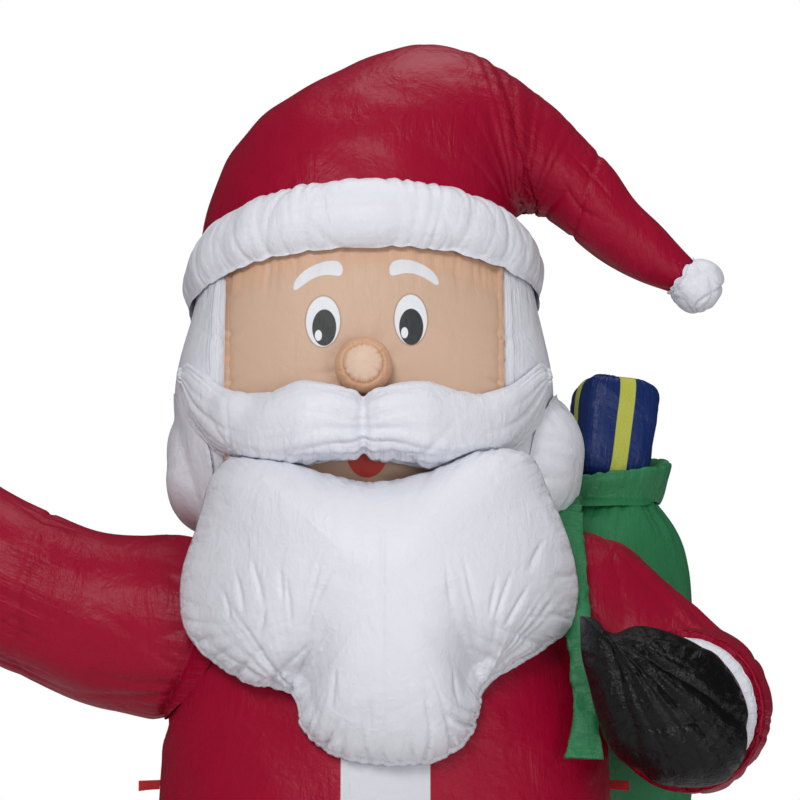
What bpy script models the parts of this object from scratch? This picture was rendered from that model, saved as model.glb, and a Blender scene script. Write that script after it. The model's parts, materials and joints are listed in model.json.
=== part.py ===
"""Inflatable Santa, about 3.66 m (12 ft) tall, for Blender 4.5.

A standing garden figure sewn from coloured nylon and blown up by a fan. It faces -Y, +Z is up, and the
origin is the centre of the underside of its base. Its left arm (+X) holds a gift sack over the shoulder,
and its right arm (-X) waves. Each sewn chamber is one closed solid in its own object. Chambers that meet
are cut by each other with a small clearance, so that they touch along their seams and never overlap.

Sizes are in metres. A free form has a few driving sizes, and its sections are shares of them.
"""

import math

import bmesh
import bpy
import numpy as np
from mathutils import Matrix

CLEARANCE = 0.0004

BASE_WIDTH = 1.30
BASE_DEPTH = 1.06
BASE_HEIGHT = 0.09

STANCE = 0.27
BOOT_WIDTH = 0.42
BOOT_LENGTH = 0.72
BOOT_HEIGHT = 0.38
BOOT_CUFF_PUFF = 0.055
LEG_WIDTH = 0.40
LEG_SHOW = 0.19

COAT_WIDTH = 1.24
COAT_DEPTH = 0.94
COAT_HEIGHT = 1.80
HEM_PUFF = 0.085
BELT_RISE = 0.77
BELT_HEIGHT = 0.15
BELT_PROUD = 0.018
BUCKLE_SIZE = 0.25
BUCKLE_BAR = 0.045
BUCKLE_THICKNESS = 0.05
TAB_DROP = 0.38
TAB_REACH = 0.055
TAB_WIDTH = 0.026
TAB_THICKNESS = 0.004

NECK_SINK = 0.24
HEAD_OFFSET = -0.047
HEAD_WIDTH = 0.95
HEAD_DEPTH = 0.82
HEAD_HEIGHT = 1.02
FACE_WIDTH = 0.68
FACE_BACK = 0.20
NOSE_RADIUS = 0.069
NOSE_DROP = 0.48
WHISKER_RISE = 0.36
WHISKER_HEIGHT = 0.36
WHISKER_PUFF = 0.27
WHISKER_SPAN = 1.05
MOUSTACHE_RISE = 0.40
MOUSTACHE_HALF_SPAN = 0.45
MOUSTACHE_PROUD = 0.055
BEARD_HALF_WIDTH = 0.485
BEARD_RISE = -0.02
BEARD_PUFF = 0.20
BEARD_TUCK = 0.13
BEARD_HANG = 0.35
BEARD_STAND = 0.015

BRIM_DROP = 0.150
BRIM_PUFF = 0.092
BRIM_TILT = 10.0
BRIM_SHIFT = 0.006
HAT_WIDTH = 0.80
HAT_RISE = 0.01
POMPOM_RADIUS = 0.072

SLEEVE_WIDTH = 0.47
SHOULDER_DROP = 0.30
CUFF_LENGTH = 0.10
CUFF_PROUD = 0.02
MITTEN_WIDTH = 0.35
MITTEN_LENGTH = 0.45
MITTEN_THICKNESS = 0.27
THUMB_RADIUS = 0.075

SACK_WIDTH = 0.74
SACK_HEIGHT = 1.16
SACK_ABOVE_SHOULDER = 0.35
SACK_OUT = 0.363
SACK_BACK = 0.425
COLLAR_WIDTH = 0.37
COLLAR_HEIGHT = 0.11
PRESENT_WIDTH = 0.205
PRESENT_HEIGHT = 0.285
PRESENT_SHOW = 0.22
PRESENT_OUT = 0.055
PRESENT_ROUND = 0.045
STRAP_WIDTH = 0.07
STRAP_THICKNESS = 0.030

COAT_SIDES = 24
COAT_SQUARENESS = 2.1

COAT_BOTTOM = BASE_HEIGHT + BOOT_HEIGHT + LEG_SHOW
COAT_TOP = COAT_BOTTOM + COAT_HEIGHT
HEAD_BOTTOM = COAT_TOP - NECK_SINK
HEAD_TOP = HEAD_BOTTOM + HEAD_HEIGHT
BRIM_Z = HEAD_TOP - BRIM_DROP
SHOULDER_Z = COAT_TOP - SHOULDER_DROP

RED = (0.42, 0.004, 0.035)
WHITE = (0.80, 0.80, 0.85)
SKIN = (0.74, 0.52, 0.38)
NOSE_PINK = (0.80, 0.45, 0.27)
BLACK = (0.012, 0.012, 0.013)
GREEN = (0.03, 0.22, 0.08)
BLUE = (0.01, 0.035, 0.19)
YELLOW = (0.52, 0.50, 0.06)
WEBBING_RED = (0.70, 0.01, 0.02)

# Sections of the coat from hem to neck: share of height, of half width and of half depth.
COAT_SECTIONS = (
    (0.00, 0.900, 0.900),
    (0.10, 0.985, 0.985),
    (0.22, 1.000, 1.000),
    (0.42, 0.965, 0.980),
    (0.60, 0.900, 0.925),
    (0.72, 0.872, 0.885),
    (0.83, 0.830, 0.830),
    (0.91, 0.720, 0.740),
    (0.965, 0.500, 0.540),
    (1.00, 0.150, 0.160),
)

# Sections of the head from neck to crown: share of height, of half width and of half depth.
HEAD_SECTIONS = (
    (0.00, 0.55, 0.60),
    (0.14, 0.80, 0.80),
    (0.30, 0.95, 0.93),
    (0.45, 1.00, 1.00),
    (0.57, 1.00, 1.00),
    (0.72, 0.92, 0.97),
    (0.86, 0.84, 0.90),
    (0.95, 0.66, 0.70),
    (1.00, 0.20, 0.22),
)

# Sections of the hat from brim to tail, in hat widths: side, rise, lean in degrees, half height, half depth.
HAT_SECTIONS = (
    (-0.012, 0.000, 0, 0.506, 0.475),
    (-0.010, 0.114, 0, 0.505, 0.475),
    (0.018, 0.203, 8, 0.486, 0.460),
    (0.086, 0.292, 20, 0.443, 0.432),
    (0.202, 0.368, 36, 0.381, 0.390),
    (0.322, 0.414, 54, 0.334, 0.340),
    (0.426, 0.406, 68, 0.283, 0.285),
    (0.512, 0.361, 82, 0.224, 0.235),
    (0.593, 0.305, 98, 0.173, 0.195),
    (0.666, 0.237, 107, 0.147, 0.165),
    (0.742, 0.163, 111, 0.133, 0.145),
    (0.824, 0.079, 114, 0.107, 0.118),
    (0.914, 0.010, 118, 0.090, 0.096),
    (1.002, -0.051, 124, 0.067, 0.070),
)

# Sections of the waving sleeve from shoulder to wrist, in sleeve widths: side, rise, lean, half height.
WAVING_SECTIONS = (
    (0.40, -0.07, -83, 0.47),
    (0.00, 0.00, -83, 0.500),
    (-0.25, 0.041, -84, 0.478),
    (-0.48, 0.083, -83, 0.457),
    (-0.70, 0.166, -80, 0.440),
    (-0.97, 0.297, -72, 0.424),
    (-1.21, 0.468, -62, 0.405),
    (-1.42, 0.690, -46, 0.385),
    (-1.53, 0.900, -32, 0.370),
)

# Sections of the sleeve that holds the sack, in sleeve widths: side, forward, rise, lean, turn, half size.
HOLDING_SECTIONS = (
    (-0.34, 0.00, 0.23, 127, 0, 0.43),
    (-0.04, 0.01, 0.09, 128, 0, 0.44),
    (0.22, 0.03, -0.155, 129, 0, 0.44),
    (0.42, 0.14, -0.35, 124, -26, 0.44),
    (0.50, 0.34, -0.435, 111, -60, 0.445),
    (0.485, 0.54, -0.455, 100, -88, 0.435),
    (0.435, 0.70, -0.460, 95, -108, 0.415),
)

# Half of the moustache from centre to tip, in half spans: side, rise, half height and half depth.
MOUSTACHE_SECTIONS = (
    (0.00, 0.000, 0.116, 0.133),
    (0.09, 0.009, 0.147, 0.189),
    (0.20, 0.009, 0.200, 0.233),
    (0.33, -0.004, 0.231, 0.256),
    (0.47, -0.016, 0.211, 0.244),
    (0.62, -0.004, 0.193, 0.222),
    (0.76, 0.067, 0.182, 0.196),
    (0.88, 0.173, 0.167, 0.156),
    (0.96, 0.278, 0.122, 0.107),
    (1.00, 0.333, 0.049, 0.056),
)

# Outline of the beard clockwise from its upper left, in beard half widths: side and rise.
BEARD_OUTLINE = (
    (-0.76, 0.71), (-0.86, 0.61), (-0.93, 0.40), (-1.00, 0.20), (-1.015, 0.04), (-0.99, -0.11),
    (-0.89, -0.25), (-0.70, -0.385), (-0.555, -0.435), (-0.43, -0.49), (-0.41, -0.60),
    (-0.32, -0.71), (-0.19, -0.775), (-0.02, -0.805), (0.14, -0.805), (0.29, -0.775),
    (0.42, -0.68), (0.475, -0.55), (0.505, -0.43), (0.66, -0.335), (0.83, -0.21),
    (0.935, -0.10), (0.97, 0.06), (0.955, 0.20), (0.91, 0.36), (0.82, 0.545), (0.72, 0.72),
    (0.49, 0.73), (0.23, 0.64), (-0.015, 0.585), (-0.22, 0.61), (-0.50, 0.68),
)
BEARD_NOTCHES = ((-0.43, -0.49, -0.15, 0.10), (0.505, -0.43, 0.22, 0.12))

# Sections of the sack from its foot to its neck: share of height, of half width, then side and back shift
# in sack widths.
SACK_SECTIONS = (
    (0.00, 0.30, 0.000, 0.108),
    (0.06, 0.66, 0.000, 0.108),
    (0.20, 0.93, 0.000, 0.081),
    (0.42, 1.00, 0.000, 0.040),
    (0.62, 1.00, 0.000, 0.000),
    (0.78, 0.93, 0.014, -0.040),
    (0.86, 0.84, 0.042, -0.081),
    (0.93, 0.70, 0.077, -0.122),
    (1.00, 0.47, 0.119, -0.149),
)

# Sections of a boot from sole to top: share of height, of half width, of half length, forward shift.
BOOT_SECTIONS = (
    (0.00, 0.86, 0.94, 0.16),
    (0.10, 1.00, 1.00, 0.16),
    (0.30, 0.98, 0.96, 0.155),
    (0.48, 0.88, 0.76, 0.10),
    (0.64, 0.80, 0.58, 0.03),
    (0.85, 0.82, 0.52, 0.00),
    (1.00, 0.84, 0.53, 0.00),
)

# Points of the sack's strap from the sack's neck to its loose end: shares of the coat's half width, of its
# half depth, of the sack's rise above the shoulder, and of the strap's width.
STRAP_PATH = (
    (0.750, -0.34, 0.97, 1.0),
    (0.742, 0.02, 0.92, 1.0),
    (0.742, 0.28, 0.71, 1.0),
    (0.745, 0.47, 0.37, 1.0),
    (0.752, 0.60, 0.00, 1.0),
    (0.760, 0.70, -0.34, 0.8),
    (0.775, 0.75, -0.66, 0.9),
    (0.770, 0.78, -0.94, 1.4),
)


def clear_scene():
    for old in list(bpy.data.objects):
        bpy.data.objects.remove(old, do_unlink=True)


def new_collection(name):
    made = bpy.data.collections.new(name)
    bpy.context.scene.collection.children.link(made)
    return made


def nylon(name, colour, roughness=0.45):
    made = bpy.data.materials.new(name)
    made.use_nodes = True
    shader = made.node_tree.nodes["Principled BSDF"]
    shader.inputs["Base Color"].default_value = (*colour, 1.0)
    shader.inputs["Roughness"].default_value = roughness
    shader.inputs["Metallic"].default_value = 0.0
    return made


def smooth_rows(rows, count):
    """Rows of numbers read from a Catmull-Rom curve through the given rows, at even steps."""
    rows = np.array(rows, float)
    padded = np.vstack([2 * rows[0] - rows[1], rows, 2 * rows[-1] - rows[-2]])
    at = np.linspace(0, len(rows) - 1, count)
    whole = np.minimum(at.astype(int), len(rows) - 2)
    t = (at - whole)[:, None]
    a, b, c, d = (padded[whole + step] for step in range(4))
    return 0.5 * (2 * b + (c - a) * t + (2 * a - 5 * b + 4 * c - d) * t**2 + (3 * b - a - 3 * c + d) * t**3)


def place(obj, name, material):
    """Names an object, gives it its material and puts it in the figure's collection only."""
    obj.name = name
    for holder in list(obj.users_collection):
        holder.objects.unlink(obj)
    PIECES.objects.link(obj)
    obj.data.materials.clear()
    obj.data.materials.append(material)
    return obj


def apply_transform(obj):
    bpy.context.view_layer.update()
    obj.data.transform(obj.matrix_world)
    obj.matrix_world = Matrix.Identity(4)
    return obj


def triangulate(mesh):
    """Splits each face for good, so that a piece and its cutter have the same surface."""
    work = bmesh.new()
    work.from_mesh(mesh)
    bmesh.ops.triangulate(work, faces=work.faces)
    work.to_mesh(mesh)
    work.free()


def skin(name, rings, material):
    """A closed mesh over rings of points. Each end is closed by a fan to its middle."""
    count, around = rings.shape[:2]
    points = [*rings.reshape(-1, 3), rings[0].mean(axis=0), rings[-1].mean(axis=0)]
    first, last = count * around, count * around + 1
    faces = []
    for i in range(around):
        j = (i + 1) % around
        faces.append((first, j, i))
        faces.append((last, (count - 1) * around + i, (count - 1) * around + j))
        for row in range(count - 1):
            low, high = row * around, (row + 1) * around
            faces.append((low + i, low + j, high + j, high + i))
    mesh = bpy.data.meshes.new(name)
    mesh.from_pydata([tuple(p) for p in points], [], faces)
    made = bpy.data.objects.new(name, mesh)
    place(made, name, material)
    recalculate(mesh)
    triangulate(mesh)
    return made


def recalculate(mesh):
    work = bmesh.new()
    work.from_mesh(mesh)
    bmesh.ops.recalc_face_normals(work, faces=work.faces)
    work.to_mesh(mesh)
    work.free()


def section_rings(rows, around, squareness=2.0):
    """Rings of points for rows of x, y, z, lean, turn, first half size and second half size.

    A section's normal leans from +Z towards +X, then turns about Z. A squareness of 2 is an ellipse.
    """
    angles = np.linspace(0, 2 * math.pi, around, endpoint=False)
    c, s = np.cos(angles), np.sin(angles)
    c = np.sign(c) * np.abs(c) ** (2 / squareness)
    s = np.sign(s) * np.abs(s) ** (2 / squareness)
    rings = []
    for x, y, z, lean, turn, half_a, half_b in rows:
        lean, turn = math.radians(lean), math.radians(turn)
        a = np.array([math.cos(lean) * math.cos(turn), math.cos(lean) * math.sin(turn), -math.sin(lean)])
        b = np.array([-math.sin(turn), math.cos(turn), 0.0])
        rings.append(np.array([x, y, z]) + half_a * c[:, None] * a + half_b * s[:, None] * b)
    return np.array(rings)


def turned(name, profile, steps, depth_share, material):
    """A profile of radius and height, from top to bottom, turned about Z and flattened front to back."""
    mesh = bpy.data.meshes.new(name)
    edges = [(i, i + 1) for i in range(len(profile) - 1)]
    mesh.from_pydata([(r, 0, z) for r, z in profile], edges, [])
    made = bpy.data.objects.new(name, mesh)
    place(made, name, material)
    screw = made.modifiers.new("Turn", "SCREW")
    screw.steps = screw.render_steps = steps
    screw.use_merge_vertices = True
    screw.merge_threshold = 0.00001
    made.scale = (1, depth_share, 1)
    bake(made)
    return apply_transform(made)


def bake(obj):
    """Puts the object's shape, as its modifiers leave it, into a plain mesh."""
    graph = bpy.context.evaluated_depsgraph_get()
    graph.update()
    mesh = bpy.data.meshes.new_from_object(obj.evaluated_get(graph))
    obj.modifiers.clear()
    obj.data = mesh
    return obj


def grown(obj):
    """A hidden copy of a piece, larger by the clearance, that cuts its neighbours."""
    triangulate(obj.data)
    cutter = bpy.data.objects.new(obj.name + "_cutter", obj.data.copy())
    cutter.matrix_world = obj.matrix_world.copy()
    CUTTERS.objects.link(cutter)
    cutter.hide_render = True
    cutter.display_type = "WIRE"
    swell = cutter.modifiers.new("Swell", "DISPLACE")
    swell.strength = CLEARANCE
    swell.mid_level = 0.0
    return cutter


def combine(obj, other, operation):
    change = obj.modifiers.new(operation.title(), "BOOLEAN")
    change.operation = operation
    change.object = other
    change.solver = "EXACT"


def cut(obj, *cutters):
    """Takes the cutters out of a piece and keeps the largest body that is left."""
    for cutter in cutters:
        combine(obj, cutter, "DIFFERENCE")
    bake(obj)
    keep_largest(obj)


def keep_largest(obj):
    work = bmesh.new()
    work.from_mesh(obj.data)
    bmesh.ops.remove_doubles(work, verts=work.verts, dist=0.00002)
    left, bodies = set(work.verts), []
    while left:
        body, front = set(), [left.pop()]
        while front:
            vert = front.pop()
            body.add(vert)
            near = {edge.other_vert(vert) for edge in vert.link_edges} & left
            left -= near
            front.extend(near)
        bodies.append(body)
    bodies.sort(key=len)
    for body in bodies[:-1]:
        bmesh.ops.delete(work, geom=list(body), context="VERTS")
    work.to_mesh(obj.data)
    work.free()


def loft_of_shares(name, sections, count, around, squareness, size, centre, material):
    """A stack of level sections, given as shares of height, half width and half depth."""
    width, depth, height = size
    rows = [
        (centre[0], centre[1], centre[2] + high * height, 0, 0, wide * width / 2, deep * depth / 2)
        for high, wide, deep in smooth_rows(sections, count)
    ]
    return skin(name, section_rings(rows, around, squareness), material)


def coat_half(z):
    """Half width and half depth of the coat at a height."""
    dense = smooth_rows(COAT_SECTIONS, 200)
    share = (z - COAT_BOTTOM) / COAT_HEIGHT
    wide = np.interp(share, dense[:, 0], dense[:, 1]) * COAT_WIDTH / 2
    deep = np.interp(share, dense[:, 0], dense[:, 2]) * COAT_DEPTH / 2
    return float(wide), float(deep)


def build_base():
    half, edge = BASE_WIDTH / 2, BASE_HEIGHT / 2
    profile = [(0, BASE_HEIGHT), (half - edge, BASE_HEIGHT)]
    for step in range(1, 3):
        angle = math.pi * step / 3
        profile.append((half - edge + edge * math.sin(angle), edge + edge * math.cos(angle)))
    profile += [(half - edge, 0), (0, 0)]
    return turned("base", profile, 24, BASE_DEPTH / BASE_WIDTH, SNOW)


def build_boot(side, name):
    rows = []
    for high, wide, long, ahead in smooth_rows(BOOT_SECTIONS, 8):
        rows.append((
            side * STANCE, -ahead * BOOT_LENGTH, BASE_HEIGHT + CLEARANCE + high * (BOOT_HEIGHT - CLEARANCE),
            0, 0, wide * BOOT_WIDTH / 2, long * BOOT_LENGTH / 2,
        ))
    return skin(name, section_rings(rows, 16, 2.3), LEATHER)


def build_leg(side, name):
    """A trouser leg from the boot's top to the coat's underside, bulging between them."""
    low = BASE_HEIGHT + BOOT_HEIGHT + CLEARANCE
    high = COAT_BOTTOM - CLEARANCE
    half = LEG_WIDTH / 2
    shares = ((1.0, 0.98), (0.7, 1.04), (0.3, 1.02), (0.0, 0.80))
    profile = [(0, high), *((half * r, low + (high - low) * t) for t, r in shares), (0, low)]
    made = turned(name, profile, 14, 1.0, CLOTH)
    made.location.x = side * STANCE
    return apply_transform(made)


def build_boot_cuff(side, name, boot, leg):
    bpy.ops.mesh.primitive_torus_add(
        major_segments=14, minor_segments=5, major_radius=BOOT_WIDTH * 0.84 / 2, minor_radius=BOOT_CUFF_PUFF
    )
    cuff = place(bpy.context.object, name, FUR)
    cuff.location = (side * STANCE, 0, BASE_HEIGHT + BOOT_HEIGHT)
    apply_transform(cuff)
    cut(cuff, grown(boot), grown(leg))
    return cuff


def build_coat():
    size = (COAT_WIDTH, COAT_DEPTH, COAT_HEIGHT)
    centre = (0, 0, COAT_BOTTOM)
    return loft_of_shares("coat", COAT_SECTIONS, 10, COAT_SIDES, COAT_SQUARENESS, size, centre, CLOTH)


def build_hem(coat, legs):
    half_width, half_depth = coat_half(COAT_BOTTOM)
    bpy.ops.mesh.primitive_torus_add(
        major_segments=24, minor_segments=5, major_radius=half_width, minor_radius=HEM_PUFF
    )
    hem = place(bpy.context.object, "coat_hem", FUR)
    hem.scale = (1, half_depth / half_width, 1)
    hem.location.z = COAT_BOTTOM + HEM_PUFF * 0.6
    apply_transform(hem)
    cut(hem, grown(coat), *(grown(leg) for leg in legs))
    return hem


def build_belt(coat):
    centre = COAT_BOTTOM + BELT_RISE
    rows = []
    for z in (centre - BELT_HEIGHT / 2, centre + BELT_HEIGHT / 2):
        half_width, half_depth = coat_half(z)
        rows.append((0, 0, z, 0, 0, half_width + BELT_PROUD, half_depth + BELT_PROUD))
    belt = skin("belt", section_rings(rows, COAT_SIDES, COAT_SQUARENESS), LEATHER)
    belt_form = grown(belt)
    cut(belt, grown(coat))
    return belt, belt_form


def build_buckle(coat, belt):
    """A padded square frame: one flat outline with a square hole, given a thickness."""
    outline = bpy.data.curves.new("buckle", "CURVE")
    outline.dimensions = "2D"
    outline.fill_mode = "BOTH"
    outline.extrude = BUCKLE_THICKNESS / 2
    for half in (BUCKLE_SIZE / 2, BUCKLE_SIZE / 2 - BUCKLE_BAR):
        line = outline.splines.new("POLY")
        line.points.add(3)
        for point, (x, y) in zip(line.points, ((-1, -1), (1, -1), (1, 1), (-1, 1))):
            point.co = (x * half, y * half, 0, 1)
        line.use_cyclic_u = True
    frame = bpy.data.objects.new("buckle_outline", outline)
    PIECES.objects.link(frame)
    frame.rotation_euler.x = math.pi / 2
    half_depth = coat_half(COAT_BOTTOM + BELT_RISE)[1]
    frame.location = (0, -half_depth - BELT_PROUD - BUCKLE_THICKNESS * 0.15, COAT_BOTTOM + BELT_RISE)
    graph = bpy.context.evaluated_depsgraph_get()
    graph.update()
    mesh = bpy.data.meshes.new_from_object(frame.evaluated_get(graph))
    work = bmesh.new()
    work.from_mesh(mesh)
    bmesh.ops.remove_doubles(work, verts=work.verts, dist=0.00001)
    work.to_mesh(mesh)
    work.free()
    buckle = place(bpy.data.objects.new("buckle", mesh), "buckle", GOLD)
    buckle.matrix_world = frame.matrix_world.copy()
    bpy.data.objects.remove(frame)
    apply_transform(buckle)
    cut(buckle, grown(coat), grown(belt))
    return buckle


def build_tab(side, name, coat):
    """A short webbing loop, laid flat, that stands out from the coat for a tether."""
    z = SHOULDER_Z - TAB_DROP
    half_width = coat_half(z)[0]
    bpy.ops.mesh.primitive_cube_add(size=1)
    tab = place(bpy.context.object, name, WEBBING)
    tab.scale = (TAB_REACH * 2, TAB_THICKNESS, TAB_WIDTH)
    tab.location = (side * half_width, 0, z)
    apply_transform(tab)
    cut(tab, grown(coat))
    return tab


def build_head_form():
    size = (HEAD_WIDTH, HEAD_DEPTH, HEAD_HEIGHT)
    return loft_of_shares("head_form", HEAD_SECTIONS, 10, 20, 2.3, size, (HEAD_OFFSET, 0, HEAD_BOTTOM), FUR)


def split_head(form, coat_cutter):
    """The head is one chamber of two colours: the face is let into the front of the hair."""
    front = -HEAD_DEPTH
    bpy.ops.mesh.primitive_cube_add(size=1)
    block = place(bpy.context.object, "face_block", SKIN_CLOTH)
    block.scale = (FACE_WIDTH, HEAD_DEPTH - FACE_BACK, HEAD_HEIGHT * 1.2)
    block.location = (HEAD_OFFSET, (front - FACE_BACK) / 2, HEAD_BOTTOM + HEAD_HEIGHT / 2)
    apply_transform(block)
    face = place(form.copy(), "face", SKIN_CLOTH)
    face.data = form.data.copy()
    face.data.materials.clear()
    face.data.materials.append(SKIN_CLOTH)
    combine(face, block, "INTERSECT")
    cut(face, coat_cutter)
    hair = place(form.copy(), "hair", FUR)
    hair.data = form.data.copy()
    hair.data.materials.clear()
    hair.data.materials.append(FUR)
    cut(hair, grown(block), coat_cutter)
    block.hide_render = True
    block.display_type = "WIRE"
    PIECES.objects.unlink(block)
    CUTTERS.objects.link(block)
    return face, hair


def build_whiskers(coat_cutter, head_cutter):
    """A thick roll of hair from one cheek round the nape to the other, rounded at its ends."""
    reach = (HEAD_WIDTH * WHISKER_SPAN + WHISKER_PUFF * 0.25) / 2
    deep = (HEAD_DEPTH * WHISKER_SPAN) / 2
    rows = []
    for share in np.linspace(-1, 1, 15):
        angle = math.radians(128) * share
        turn = math.degrees(math.atan2(-deep * math.sin(angle), reach * math.cos(angle)))
        full = math.sqrt(max(0.04, 1 - abs(share) ** 9))
        rows.append((
            HEAD_OFFSET * 0.45 + (reach - WHISKER_PUFF / 2) * math.sin(angle),
            (deep - WHISKER_PUFF / 2) * math.cos(angle),
            HEAD_BOTTOM + WHISKER_RISE,
            90, turn, full * WHISKER_HEIGHT / 2, full * WHISKER_PUFF / 2,
        ))
    whiskers = skin("whiskers", section_rings(rows, 9, 2.2), FUR)
    whiskers_form = grown(whiskers)
    cut(whiskers, head_cutter, coat_cutter)
    return whiskers, whiskers_form


def build_nose(head_cutter):
    """A ball that stands out of the face by more than its radius."""
    z = HEAD_TOP - NOSE_DROP
    bpy.ops.mesh.primitive_uv_sphere_add(segments=12, ring_count=7, radius=NOSE_RADIUS)
    nose = place(bpy.context.object, "nose", NOSE_CLOTH)
    nose.rotation_euler.x = math.pi / 2
    nose.location = (HEAD_OFFSET, -HEAD_DEPTH / 2 - NOSE_RADIUS * 0.45, z)
    apply_transform(nose)
    nose_form = grown(nose)
    cut(nose, head_cutter)
    return nose, nose_form


def build_moustache(*cutters):
    """Two lobes in one roll, pinched at the middle, that bend back round the face."""
    half = [row for row in MOUSTACHE_SECTIONS]
    mirrored = [(-row[0], *row[1:]) for row in half[:0:-1]]
    rows = []
    for share, rise, high, deep in smooth_rows([*mirrored, *half], 19):
        x = HEAD_OFFSET + share * MOUSTACHE_HALF_SPAN
        y = -HEAD_DEPTH / 2 - MOUSTACHE_PROUD + 0.6 * MOUSTACHE_HALF_SPAN * share**2
        z = HEAD_BOTTOM + MOUSTACHE_RISE + rise * MOUSTACHE_HALF_SPAN
        rows.append((x, y, z, 90, 0, high * MOUSTACHE_HALF_SPAN, deep * MOUSTACHE_HALF_SPAN))
    moustache = skin("moustache", section_rings(rows, 9, 2.2), FUR)
    moustache_form = grown(moustache)
    cut(moustache, *cutters)
    return moustache, moustache_form


def beard_point(side, rise, inward, front):
    """A point of the beard: side and rise in half widths, inward 0 at the seam and 1 at the middle."""
    back_bend = 0.35 * BEARD_HALF_WIDTH * side**2
    seam = -coat_half(HEAD_BOTTOM - BEARD_HANG)[1] - BEARD_STAND + back_bend
    if not front:
        return seam + BEARD_TUCK * inward
    swell = BEARD_PUFF * (1 - (1 - inward) ** 2.4) ** 0.55
    for notch_side, notch_rise, end_side, end_rise in BEARD_NOTCHES:
        along = np.array([end_side - notch_side, end_rise - notch_rise])
        offset = np.array([side - notch_side, rise - notch_rise])
        t = float(offset @ along / (along @ along))
        across = float(np.linalg.norm(offset - np.clip(t, 0, 1) * along))
        valley = math.exp(-((across / 0.13) ** 2)) * min(1.0, inward * 6)
        swell -= 0.28 * BEARD_PUFF * max(0.0, 1 - t) * valley
    return seam - swell


def build_beard(*cutters):
    """A padded bib: rings from the outline to the middle, domed in front and tucked in behind."""
    outline = smooth_rows([*BEARD_OUTLINE, BEARD_OUTLINE[0]], 37)[:-1]
    centre = np.array([0.0, 0.02])
    centre_z = HEAD_BOTTOM + BEARD_RISE

    def ring(inward, front):
        flat = outline + (centre - outline) * inward
        return [
            (
                side * BEARD_HALF_WIDTH,
                beard_point(side, rise, inward, front),
                centre_z + rise * BEARD_HALF_WIDTH,
            )
            for side, rise in flat
        ]

    rings = [ring(inward, False) for inward in (0.15,)]
    rings += [ring(inward, True) for inward in (0.0, 0.08, 0.24, 0.50, 0.82)]
    beard = skin("beard", np.array(rings), FUR)
    beard_form = grown(beard)
    cut(beard, *cutters)
    return beard, beard_form


def build_hat(head_cutter):
    rows = []
    centre_z = BRIM_Z + HAT_RISE
    for side, rise, lean, high, deep in smooth_rows(HAT_SECTIONS, 15):
        rows.append((
            HEAD_OFFSET + side * HAT_WIDTH, 0, centre_z + rise * HAT_WIDTH,
            lean, 0, high * HAT_WIDTH, deep * HAT_WIDTH,
        ))
    hat = skin("hat", section_rings(rows, 18, 2.0), CLOTH)
    hat_form = grown(hat)
    cut(hat, head_cutter)
    return hat, hat_form


def build_brim(*cutters):
    bpy.ops.mesh.primitive_torus_add(
        major_segments=24,
        minor_segments=7,
        major_radius=HAT_WIDTH / 2 - BRIM_PUFF * 0.38,
        minor_radius=BRIM_PUFF,
    )
    brim = place(bpy.context.object, "hat_brim", FUR)
    brim.scale = (1, 0.97, 1.05)
    brim.rotation_euler.x = -math.radians(BRIM_TILT)
    brim.location = (HEAD_OFFSET - BRIM_SHIFT, 0, BRIM_Z)
    apply_transform(brim)
    brim_form = grown(brim)
    cut(brim, *cutters)
    return brim, brim_form


def build_pompom(hat_cutter):
    side, rise, lean = HAT_SECTIONS[-1][:3]
    angle = math.radians(lean)
    reach = POMPOM_RADIUS * 0.62
    bpy.ops.mesh.primitive_uv_sphere_add(segments=12, ring_count=7, radius=POMPOM_RADIUS)
    pompom = place(bpy.context.object, "hat_pompom", FUR)
    pompom.rotation_euler.y = angle
    pompom.scale = (1.0, 1.0, 0.85)
    pompom.location = (
        HEAD_OFFSET + side * HAT_WIDTH + reach * math.sin(angle), 0,
        BRIM_Z + HAT_RISE + rise * HAT_WIDTH + reach * math.cos(angle),
    )
    apply_transform(pompom)
    cut(pompom, hat_cutter)
    return pompom


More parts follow.
